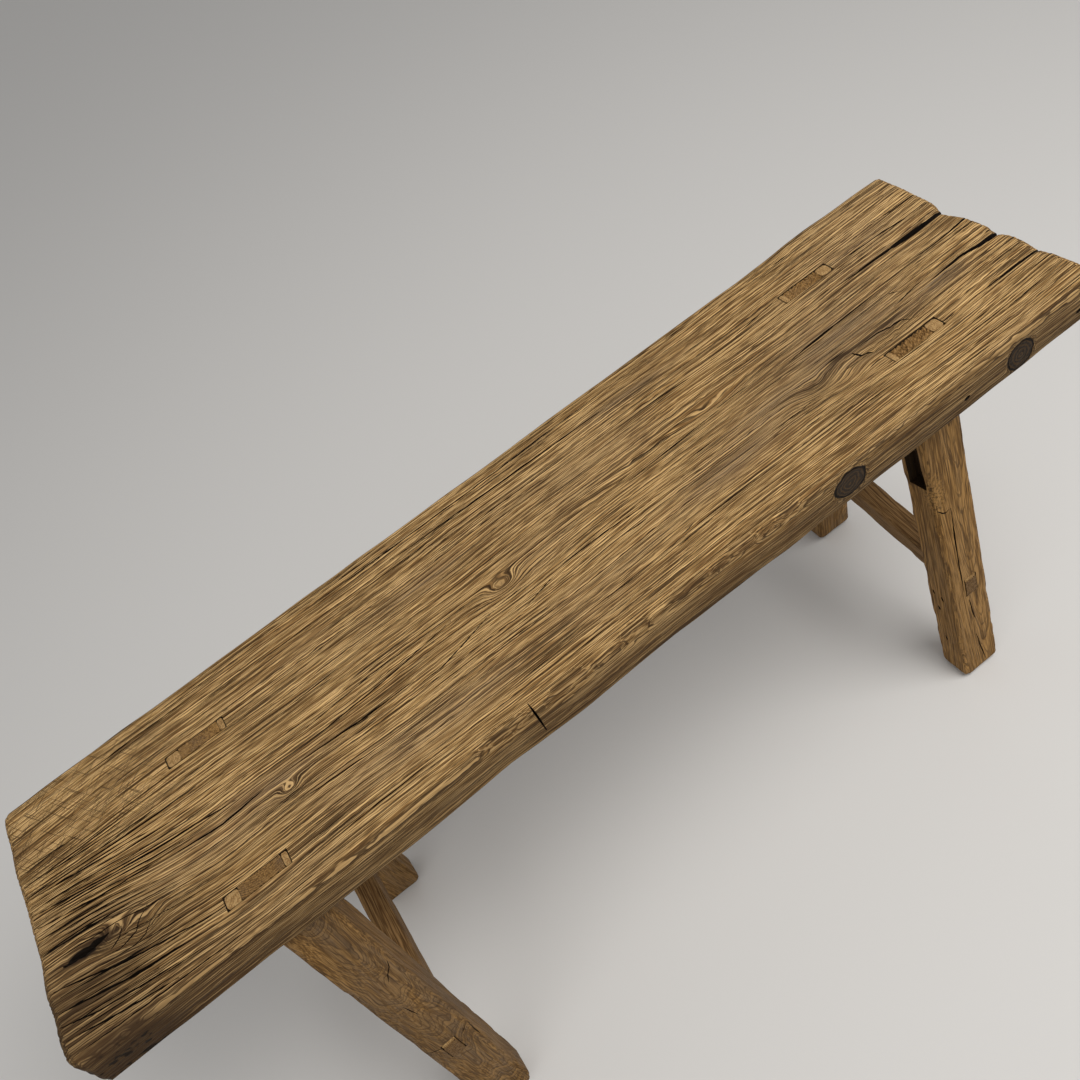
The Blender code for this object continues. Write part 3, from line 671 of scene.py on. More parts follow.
def carry_grain(mesh, uncut):
    """Gives the points that a cut made the grain of the uncut surface nearest to them."""
    new = np.nonzero(stored(mesh, "known", 1)[:, 0] < 0.5)[0]
    corners = positions(uncut)
    uncut.calc_loop_triangles()
    triangles = np.empty(len(uncut.loop_triangles) * 3, np.int32)
    uncut.loop_triangles.foreach_get("vertices", triangles)
    triangles = triangles.reshape(-1, 3)
    surface = BVHTree.FromPolygons(corners.tolist(), triangles.tolist())
    hits = [surface.find_nearest(point) for point in positions(mesh)[new].tolist()]
    near = triangles[[hit[2] for hit in hits]]
    first, second, third = (corners[near[:, corner]] for corner in range(3))
    one, two, spot = second - first, third - first, np.array([hit[0] for hit in hits]) - first
    one_one, one_two, two_two = (np.sum(a * b, axis=1) for a, b in ((one, one), (one, two), (two, two)))
    spot_one, spot_two = np.sum(spot * one, axis=1), np.sum(spot * two, axis=1)
    whole = np.maximum(one_one * two_two - one_two**2, 1e-20)
    share_two = (two_two * spot_one - one_two * spot_two) / whole
    share_three = (one_one * spot_two - one_two * spot_one) / whole
    shares = np.column_stack((1 - share_two - share_three, share_two, share_three))
    for name, width in CARRIED.items():
        if name in uncut.attributes:
            values = stored(mesh, name, width)
            values[new] = np.sum(stored(uncut, name, width)[near] * shares[:, :, None], axis=1)
            store(mesh, name, values if width > 1 else values[:, 0])
    mesh.attributes.remove(mesh.attributes["known"])


def finish_piece(obj, node, material):
    """Smooths the piece and lets it stand for its solid."""
    mesh = obj.data
    mesh.materials.clear()
    mesh.materials.append(material)
    mesh.polygons.foreach_set("material_index", np.zeros(len(mesh.polygons), np.int32))
    mesh.shade_smooth()
    mesh.set_sharp_from_angle(angle=SHARP_ANGLE)
    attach(obj, "root")
    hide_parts(node)


def solid_points(node):
    """The corners of a solid, each once."""
    return np.unique(positions(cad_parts[node].data).round(6), axis=0)


def cutter_from(name, mesh, dark):
    """An object to cut with, from a bmesh that it frees; the walls it leaves are painted this far towards the crack
    colour, as painted shade with some dirt.
    """
    bmesh.ops.recalc_face_normals(mesh, faces=mesh.faces)
    data = bpy.data.meshes.new(name)
    mesh.to_mesh(data)
    mesh.free()
    store(data, "crack", np.full(len(data.polygons), dark), "FACE")
    store(data, "known", np.zeros(len(data.vertices)))
    return new_object(name, data)


def grown_solids(name, nodes):
    """Copies of solids that don't touch, swollen by the joint gap, to cut a neighbour with."""
    every = bmesh.new()
    for node in nodes:
        one = bmesh.new()
        one.from_mesh(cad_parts[node].data)
        bmesh.ops.remove_doubles(one, verts=one.verts, dist=MERGE_DISTANCE)
        one.normal_update()
        moves = [vertex.normal * JOINT_GAP * vertex.calc_shell_factor() for vertex in one.verts]
        corners = [every.verts.new(vertex.co + move) for vertex, move in zip(one.verts, moves)]
        for face in one.faces:
            every.faces.new([corners[vertex.index] for vertex in face.verts])
        one.free()
    return cutter_from(name, every, JOINT_SHADE)


def lattice(xs, ys, zs):
    """The points and faces of a closed box of quads on the given lattice lines."""
    counts = (len(xs), len(ys), len(zs))
    outside = np.zeros(counts, bool)
    for axis in range(3):
        view = np.moveaxis(outside, axis, 0)
        view[0] = True
        view[-1] = True
    number = np.cumsum(outside.ravel()).reshape(counts) - 1
    i, j, k = np.nonzero(outside)
    faces = []
    for axis in range(3):
        for end in (0, -1):
            side = np.take(number, end, axis=axis)
            quads = np.stack((side[:-1, :-1], side[1:, :-1], side[1:, 1:], side[:-1, 1:]), -1).reshape(-1, 4)
            turned = (axis == 1) != (end == 0)
            faces.append(quads[:, ::-1] if turned else quads)
    return np.column_stack((xs[i], ys[j], zs[k])), np.concatenate(faces)


def rounded(points, half, radius):
    """The points of a box with its arrises rounded, and the directions they face."""
    radius = radius[:, None]
    core = np.clip(points, radius - half, half - radius)
    out = points - core
    reach = np.abs(out).max(axis=1, keepdims=True)
    facing = out / np.linalg.norm(out, axis=1, keepdims=True)
    return core + facing * reach, facing


class SeatGrain:
    """The growth rings of the seat, and how they bend along it."""

    def __init__(self, spacing):
        rng = np.random.default_rng(SEAT_SEED)
        widths = spacing * rng.uniform(*RING_UNEVEN, RING_COUNT)
        self.edges = RING_START + np.concatenate(([0], np.cumsum(widths)))

    def rows(self):
        """Where the ring lines meet the seat's flat top, with the top's two edges."""
        shares = np.array(RING_ROWS)
        radius = (self.edges[:-1, None] + np.diff(self.edges)[:, None] * shares).ravel()
        radius = radius[radius > abs(PITH_Z)]
        across = PITH_Y - np.sqrt(radius**2 - PITH_Z**2)
        half = SEAT_HALF[1]
        inside = across[np.abs(across) < half - 0.0005]
        return np.concatenate(([-half], np.sort(inside), [half]))

    def ring(self, across, below):
        """Number of the ring at a place, with its share as the fraction."""
        return np.interp(np.hypot(across - PITH_Y, below - PITH_Z), self.edges, np.arange(len(self.edges)))

    @staticmethod
    def bend(x, y):
        """How far the grain line that starts at y runs aside at x."""
        shift = sum(rise * np.sin(2 * np.pi * (x / length + drift * y)) for rise, length, drift in GRAIN_WAVES)
        shift = shift + FAN_AMOUNT * smooth_step(FAN_START, FAN_END, x) * smooth_step(FAN_BACK, FAN_FRONT, y)
        for patch in GRAIN_BENDS:
            away = (y - patch.y) / patch.breadth
            near = np.exp(-(((x - patch.x) / patch.length) ** 2))
            shift = shift + patch.amount * near * np.tanh(1.6 * away) * np.exp(-np.abs(away))
        return shift * (1 - np.abs(y / SEAT_HALF[1]) ** 6)


def seat_stations():
    """Places along the seat for its rows of points: closer at the ends, and over knots and hollows."""
    ends = np.array(SEAT_END_STATIONS)
    length = 2 * SEAT_HALF[0]
    middle = np.arange(ends[-1] + SEAT_STATION, length - ends[-1] - SEAT_STATION / 2, SEAT_STATION)
    places = [np.concatenate((ends, middle, length - ends[::-1]))]
    extra = [(knot, KNOT_REACH, TOP_KNOT_STATIONS) for knot in TOP_KNOTS]
    extra += [(knot, KNOT_REACH, EDGE_KNOT_STATIONS) for knot in EDGE_KNOTS]
    extra += [(hollow, HOLLOW_REACH, HOLLOW_STATIONS) for hollow in HOLLOWS]
    for mark, reach, count in extra:
        places.append(mark.x + SEAT_HALF[0] + mark.length * np.linspace(-reach, reach, count))
    stations = np.unique(np.clip(np.concatenate(places), 0, length).round(5))
    apart = np.concatenate(([True], np.diff(stations) > STATION_GAP))
    apart[-1] = True
    return stations[apart] - SEAT_HALF[0]


def chip_shape(x):
    """How fully the front arris is broken away along the seat, from 0 to 1."""
    return sum(np.clip(1 - ((x - middle) / half) ** 2, 0, 1) ** 0.7 for middle, half in FRONT_CHIPS)


def seat_arris(points):
    """Radius of the seat's worn arrises: more along the front, most where it is broken away."""
    x, y, z = points.T
    front = smooth_step(0, -SEAT_HALF[1], y)
    top = smooth_step(-0.004, 0.004, z)
    worn = SEAT_ARRIS_WEAR * soft_noise(x * 30, y * 30, 6)
    return SEAT_ARRIS + worn + (FRONT_ARRIS * front + TOP_ARRIS + CHIP_DEPTH * chip_shape(x) * front) * top


def seat_wear(x):
    """How strongly the grain stands out along the seat: most at its left end."""
    return 0.40 + 0.60 * smooth_step(-0.28, -0.45, x) + 0.30 * smooth_step(0.25, 0.45, x)


def seat_weather(at, front):
    """Grey weathering of the seat: single patches, and a soft mottle."""
    weather = sum(patch.amount * hump(at.along, at.place, patch) for patch in GREY_PATCHES)
    weather = weather + 0.24 * smooth_step(0.45, 0.8, soft_noise(at.along * 9, at.place * 26, 21))
    return np.clip(weather * (1 - 0.8 * front), 0, 0.9)


def seat_stain_and_shade(at, front, end):
    """Dirt and painted shade on the seat: single patches, and darker edges; the front face and the left end's front
    corner are darker partly as painted shade.
    """
    x, facing = at.along, at.facing
    stain = sum(patch.amount * hump(x, at.place, patch) for patch in STAIN_AND_SHADE_PATCHES) * (1 - 0.7 * front)
    arris = smooth_step(-0.1, -0.4, facing[:, 1]) * smooth_step(0.0, 0.3, facing[:, 2])
    ends = 0.16 * smooth_step(-0.30, -0.45, x) + 0.12 * smooth_step(0.15, 0.35, x)
    # Painted shade, with dirt: the front face is darker, more so lower down and towards the ends.
    stain = stain + (0.40 + 0.24 * smooth_step(-0.006, -0.032, at.below) + ends) * front + 0.08 * arris
    stain = stain + 0.25 * smooth_step(0.3, 0.8, facing[:, 1]) + 0.30 * end
    return np.clip(stain, 0, 1.5 - 0.75 * end)


def seat_chips(at):
    """How far within a chip of the front arris each place lies."""
    x, facing = at.along, at.facing
    turn = np.arctan2(-facing[:, 1], facing[:, 2]) / (np.pi / 2)
    ragged = 0.24 * soft_noise(x * 130, turn * 6, 23) - 0.16
    chip = 0.28 + 0.56 * chip_shape(x) - np.abs(turn - 0.36) + ragged
    return np.where(facing[:, 1] < -1e-6, chip, 0.0)


def seat_marks(at):
    """What the seat's surface shows, by name: weathering, stain with painted shade, chips, fresh wood, end grain
    and scratches.
    """
    front = smooth_step(-0.3, -0.8, at.facing[:, 1])
    end = smooth_step(0.5, 0.9, np.abs(at.facing[:, 0]))
    spots = (patch.amount * smooth_step(0.3, 0.8, hump(at.along, at.place, patch)) for patch in FRESH_PATCHES)
    return {
        "weather": seat_weather(at, front),
        "stain": seat_stain_and_shade(at, front, end),
        "chip": seat_chips(at),
        "fresh": np.clip(sum(spots), 0, 0.9),
        "end": end,
        "scratch": smooth_step(-0.33, -0.42, at.along) * smooth_step(0.01, 0.05, at.place) * at.top,
    }


def seat_rings(grain, at):
    """Where the growth lines would lie without knots, and the numbers of their rings."""
    across = at.across.copy()
    for knot in TOP_KNOTS:
        away = ((at.along - knot.x) / knot.length) ** 2 + ((at.place - knot.across) / knot.breadth) ** 2
        across += knot.rise * np.exp(-away) * at.top
    for knot in EDGE_KNOTS:
        away = ((at.along - knot.x) / knot.length) ** 2 + ((at.below - knot.across) / knot.breadth) ** 2
        across += knot.rise * np.clip(1 - away / EDGE_KNOT_REACH, 0, 1) ** 2 * at.front
    return across, grain.ring(across, at.below)


def line_strength(ring, along):
    """How strongly each growth line shows along its length."""
    number = np.floor(ring + 0.04)
    strength = 0.55 * soft_noise(number * 7.31, along * 4, 2) + 0.45 * soft_noise(number * 3.17, along * 12, 3)
    return 0.22 + 0.78 * smooth_step(0.28, 0.66, strength)


def seat_depth(look, at, groove):
    """How far the seat's surface is worn in: its growth lines, dents and hollows."""
    fibres = groove + 0.12 * soft_noise(at.along * 14, at.across * 160, 4)
    depth = look.relief * seat_wear(at.along) * fibres
    depth = depth + DENT_DEPTH * soft_noise(at.along * 8, at.across * 22, 7)
    for hollow in HOLLOWS:
        inside = smooth_step(0.15, 0.75, hump(at.along, at.place, hollow)) * at.top
        rough = 0.4 + 1.2 * soft_noise(at.along * 200, at.across * 380, 8)
        depth = depth + hollow.amount * inside * rough
    return depth


def draw_in(points, at, notch):
    """Draws the seat's edges and ends in to their worn outlines."""
    half_length, half_width = SEAT_HALF[:2]
    points[:, 1] += soft_interp(at.along, FRONT_EDGE) * np.exp(-(at.across + half_width) / EDGE_REACH)
    points[:, 1] -= soft_interp(at.along, BACK_EDGE) * np.exp(-(half_width - at.across) / EDGE_REACH)
    for side, outline in ((-1, LEFT_END), (1, RIGHT_END)):
        near = smooth_step(side * (half_length - END_REACH), side * half_length, at.along)
        tip = smooth_step(side * (half_length - TIP_REACH), side * half_length, at.along)
        points[:, 0] -= side * (soft_interp(points[:, 1], outline) * near + notch * tip)


# Places on the seat's surface: along it, across it before and after the grain's bend, and below its top; the
# direction they face, and how fully that is up or to the front
SeatSurface = namedtuple("SeatSurface", "along across place below facing top front")


def seat_mesh(look, grain):
    """The seat plank as rows of points that follow its growth lines."""
    layers = np.linspace(-SEAT_HALF[2], SEAT_HALF[2], SEAT_LAYERS)
    flat, faces = lattice(seat_stations(), grain.rows(), layers)
    points, facing = rounded(flat, SEAT_HALF, seat_arris(flat))
    along, across = flat[:, 0], points[:, 1]
    bend = grain.bend(along, across)
    top, front = smooth_step(0.3, 0.7, facing[:, 2]), smooth_step(-0.3, -0.7, facing[:, 1])
    at = SeatSurface(along, across, across + bend, points[:, 2] - SEAT_HALF[2], facing, top, front)
    ring_place, ring = seat_rings(grain, at)
    strength = line_strength(ring, along)
    profile = np.interp(ring % 1, *RING_PROFILE)

    points = points - facing * seat_depth(look, at, profile * strength)[:, None]
    points[:, 1] += bend
    draw_in(points, at, END_NOTCH * profile * strength + END_CRUMBLE * soft_noise(across * 260, at.below * 200, 9))
    points += np.array(SEAT_MIDDLE) - (0, 0, SEAT_HALF[2])

    mesh = mesh_from("worn_seat_plank", points, faces)
    marks = seat_marks(at)
    plain = 0.45 * smooth_step(-0.30, -0.42, along) * smooth_step(0.03, 0.06, at.place) + 0.25 * front
    line = strength * (0.90 + 0.30 * seat_wear(along)) * (1 - plain) * (1 - 0.8 * marks["fresh"])
    marks.update(ring=ring, line=np.clip(line, 0, 1), known=np.ones(len(points)))
    marks["grain"] = np.column_stack((along, ring_place, at.below))
    marks["row"] = np.where(flat[:, 2] > layers[0], -1, np.searchsorted(grain.rows(), flat[:, 1]))
    for name, values in marks.items():
        store(mesh, name, values)
    thin_underside(mesh)
    store(mesh, "crack", np.zeros(len(mesh.polygons)), "FACE")
    return mesh


def thin_underside(mesh):
    """Joins the narrow rows of faces under the seat into broader ones."""
    row = stored(mesh, "row", 1)[:, 0]
    mesh.attributes.remove(mesh.attributes["row"])
    work = bmesh.new()
    work.from_mesh(mesh)
    edges = []
    for edge in work.edges:
        near, far = (row[vertex.index] for vertex in edge.verts)
        if near == far and near > 0 and near % UNDERSIDE_ROWS and near < row.max():
            edges.append(edge)
    bmesh.ops.dissolve_edges(work, edges=edges, use_verts=True)
    work.to_mesh(mesh)
    work.free()


def along_path(path, step):
    """Points at even steps along a path, and their share of its length."""
    path = np.array(path, float)
    length = np.concatenate(([0], np.cumsum(np.linalg.norm(np.diff(path, axis=0), axis=1))))
    share = np.linspace(0, 1, max(4, int(length[-1] / step)))
    places = np.column_stack([np.interp(share * length[-1], length, path[:, axis]) for axis in (0, 1)])
    return places, share


class Face:
    """A flat face that cracks are cut into: a point on it, two directions along it, and its outward one."""

    def __init__(self, origin, across, along, out):
        self.origin = np.array(origin)
        self.axes = np.array((across, along, out))

    def at(self, first, second, out):
        """Points at the given distances across, along and out of the face."""
        return self.origin + sum(np.outer(part, axis) for part, axis in zip((first, second, out), self.axes))


def add_blade(mesh, face, crack, opens, seed):
    """Adds a thin tapering cutter along a crack's path; an opening one is widest where the path starts."""
    places, share = along_path(crack.path, BLADE_STEP)
    heading = np.gradient(places, axis=0)
    heading /= np.linalg.norm(heading, axis=1, keepdims=True)
    aside = np.column_stack((-heading[:, 1], heading[:, 0]))
    if opens:
        size = np.maximum(1 - share, 0.03) ** 0.75
    else:
        size = np.sin(np.pi * np.clip(share, 0.02, 0.98)) ** 0.4
    wander = BLADE_WANDER * (2 * soft_noise(places[:, 0] * 90, places[:, 1] * 90, seed) - 1)
    places = places + aside * wander[:, None]
    uneven = 0.5 * soft_noise(places[:, 0] * 60, places[:, 1] * 60, seed + 1)
    uneven = uneven + 0.5 * soft_noise(places[:, 0] * 190, places[:, 1] * 60, seed + 2)
    half = crack.width / 2 * size * (0.55 + uneven)
    floor_half = half * (0.45 if opens else 0.25)
    lift = np.full(len(places), BLADE_LIFT)
    sunk = -crack.depth * np.maximum(size, 0.25)
    corners = []
    for side, reach, out in ((-1, half, lift), (1, half, lift), (1, floor_half, sunk), (-1, floor_half, sunk)):
        rim = places + side * aside * reach[:, None]
        corners.append([mesh.verts.new(point) for point in face.at(rim[:, 0], rim[:, 1], out)])
    for near, far in zip(corners, corners[1:] + corners[:1]):
        for place in range(len(places) - 1):
            mesh.faces.new((near[place], near[place + 1], far[place + 1], far[place]))
    for end in (0, -1):
        mesh.faces.new([corner[end] for corner in corners])


def apart_groups(cracks):
    """The cracks sorted into groups in which none touches another."""
    groups = []
    for crack in cracks:
        path = along_path(crack.path, BLADE_STEP / 2)[0]
        for group in groups:
            gaps = (np.linalg.norm(path[:, None] - other[None], axis=2).min() for other, _ in group)
            if min(gaps) > CRACK_APART + crack.width:
                group.append((path, crack))
                break
        else:
            groups.append([(path, crack)])
    return [[crack for _, crack in group] for group in groups]


def crack_cutters(name, face, cracks, opens, seed):
    """Cutters for cracks in a face, each for cracks that don't touch."""
    cutters = []
    for number, group in enumerate(apart_groups(cracks)):
        mesh = bmesh.new()
        for place, crack in enumerate(group):
            add_blade(mesh, face, crack, opens, seed + place)
        cutters.append(cutter_from(f"{name}_{number}", mesh, 1.0))
    return cutters


def fine_checks(grain):
    """Short cracks scattered along the growth lines, most of them near the seat's ends."""
    rng = np.random.default_rng(CHECK_SEED)
    rows = grain.rows()
    rows = rows[np.abs(rows) < CHECK_REACH]
    checks = []
    for _ in range(CHECK_COUNT):
        length = rng.uniform(*CHECK_LENGTH)
        start = (2 * rng.beta(*CHECK_CROWDING) - 1) * (SEAT_HALF[0] - CHECK_MARGIN)
        xs = np.clip(np.linspace(start, start + length, 4), -SEAT_HALF[0], SEAT_HALF[0] - CHECK_END)
        row = rng.choice(rows)
        path = tuple(zip(xs, row + grain.bend(xs, row)))
        if np.ptp(xs) > CHECK_LENGTH[0] / 2:
            checks.append(Crack(path, rng.uniform(*CHECK_WIDTH), rng.uniform(*CHECK_DEPTH)))
    return checks


def end_grooves(grain):
    """Grooves that follow the growth lines in from the left end."""
    rng = np.random.default_rng(GROOVE_SEED)
    grooves = []
    for row in np.arange(*GROOVE_ROWS):
        start = rng.uniform(*GROOVE_START) - SEAT_HALF[0]
        xs = np.linspace(start, start + rng.uniform(*GROOVE_LENGTH), 8)
        ys = row + rng.uniform(-GROOVE_WANDER, GROOVE_WANDER) + grain.bend(xs, row)
        groove = Crack(tuple(zip(xs, ys)), rng.uniform(*GROOVE_WIDTH), rng.uniform(*GROOVE_DEPTH))
        if hump(xs, ys, CURL).max() < CURL_EDGE:
            grooves.append(groove)
    return grooves


def seat_cutters(grain):
    """What is cut out of the seat: its joints, cracks, end splits, saw cut and nail holes."""
    cutters = [grown_solids("leg_holes", [f"leg_{leg}" for leg in LEGS])]
    for place in ("outer", "inner"):
        cutters.append(grown_solids(f"wedge_holes_{place}", [f"seat_wedge_{leg}_{place}" for leg in LEGS]))
    top = Face(SEAT_MIDDLE, (1, 0, 0), (0, 1, 0), (0, 0, 1))
    cracks = (*SEAT_CRACKS, *end_grooves(grain), *fine_checks(grain))
    cutters += crack_cutters("crack", top, cracks, False, CRACK_SEED)
    cutters += crack_cutters("split", top, (*END_SPLITS, SAW_CUT), True, SPLIT_SEED)
    edge = Face((SEAT_MIDDLE.x, SEAT_LOW.y, SEAT_HIGH.z), (1, 0, 0), (0, 0, 1), (0, -1, 0))
    cutters += crack_cutters("nail_hole", edge, NAIL_HOLES, False, NAIL_SEED)
    return cutters


def make_seat(look):
    """The seat plank, cut for its joints and cracks."""
    grain = SeatGrain(look.ring_spacing)
    uncut = seat_mesh(look, grain)
    seat = new_object("worn_seat_plank", uncut)
    carry_grain(combine(seat, seat_cutters(grain), "DIFFERENCE"), uncut)
    finish_piece(seat, "seat_plank", wood_material("seat_wood_worn", look, EDGE_KNOTS))


class Timber:
    """A squared timber's own directions, sizes and ends, read from its solid."""

    def __init__(self, start, end, sideways):
        self.start = start
        self.along = (end - start).normalized()
        self.across = (sideways - sideways.dot(self.along) * self.along).normalized()
        self.through = self.along.cross(self.across)

    def axes(self):
        return self.start, self.across, self.through, self.along

    def local(self, points):
        axes = np.array((self.across, self.through, self.along))
        return (np.asarray(points) - np.array(self.start)) @ axes.T

    def ranges(self, points):
        own = self.local(points)
        return own[:, :2].min(axis=0), own[:, :2].max(axis=0)

    def end_plane(self, points):
        """A slanting end, as its distance along the timber and its slopes across and through it."""
        own = self.local(points)
        table = np.column_stack((np.ones(len(own)), own[:, :2]))
        return np.linalg.lstsq(table, own[:, 2], rcond=None)[0]

    def level_plane(self, height):
        """An end cut level at a height above the floor."""
        rise = self.along.z
        values = (height - self.start.z, -self.across.z, -self.through.z)
        return np.array(values) / rise

    def place(self, mesh, length, planes):
        """Moves a bar that stands on its own axis into the timber's place, between its two end planes."""
        own = positions(mesh)
        share = own[:, 2] / length
        table = np.column_stack((np.ones(len(own)), own[:, :2]))
        own[:, 2] = (table @ planes[0]) * (1 - share) + (table @ planes[1]) * share
        axes = np.array((self.across, self.through, self.along))
        set_positions(mesh, own @ axes + np.array(self.start))


TIMBER_INPUTS = (
    ("Middle", "NodeSocketVector"),
    ("Breadth", "NodeSocketFloat"),
    ("Depth", "NodeSocketFloat"),
    ("Length", "NodeSocketFloat"),
    ("Rows Across", "NodeSocketInt"),
    ("Rows Through", "NodeSocketInt"),
    ("Stations", "NodeSocketInt"),
    ("Arris Radius", "NodeSocketFloat"),
    ("Foot Radius", "NodeSocketFloat"),
    ("Wear", "NodeSocketFloat"),
    ("Arris Wear", "NodeSocketFloat"),
    ("Head Wear", "NodeSocketFloat"),
    ("Ring Spacing", "NodeSocketFloat"),
    ("Pith", "NodeSocketVector"),
    ("Swirl", "NodeSocketVector"),
    ("Swirl Length", "NodeSocketFloat"),
    ("Swirl Rise", "NodeSocketFloat"),
    ("Tilt", "NodeSocketFloat"),
    ("Figure", "NodeSocketFloat"),
    ("Line Strength", "NodeSocketFloat"),
    ("Burl Depth", "NodeSocketFloat"),
    ("Grey", "NodeSocketFloat"),
    ("Stain", "NodeSocketFloat"),
    ("Seed", "NodeSocketFloat"),
    ("Material", "NodeSocketMaterial"),
)


def geometry_tree(name, inputs):
    """A new geometry tree with the named inputs, its helper, and the outputs of its input node."""
    group = bpy.data.node_groups.new(name, "GeometryNodeTree")
    group.interface.new_socket("Geometry", in_out="OUTPUT", socket_type="NodeSocketGeometry")
    for label, kind in inputs:
        group.interface.new_socket(label, in_out="INPUT", socket_type=kind)
    tree = Tree(group)
    return group, tree, tree.add("NodeGroupInput").outputs


def close_tree(tree, geometry, material):
    """Ends a tree: real geometry, its material, and the group's output."""
    real = tree.add("GeometryNodeRealizeInstances", {"Geometry": geometry}).outputs[0]
    done = tree.add("GeometryNodeSetMaterial", {"Geometry": real, "Material": material}).outputs[0]
    tree.put(tree.add("NodeGroupOutput").inputs[0], done)


def store_node(tree, geometry, name, value, kind="FLOAT"):
    node = tree.add("GeometryNodeStoreNamedAttribute", {"Geometry": geometry, "Name": name}, data_type=kind)
    tree.put(node.inputs["Value"], value)
    return node.outputs[0]


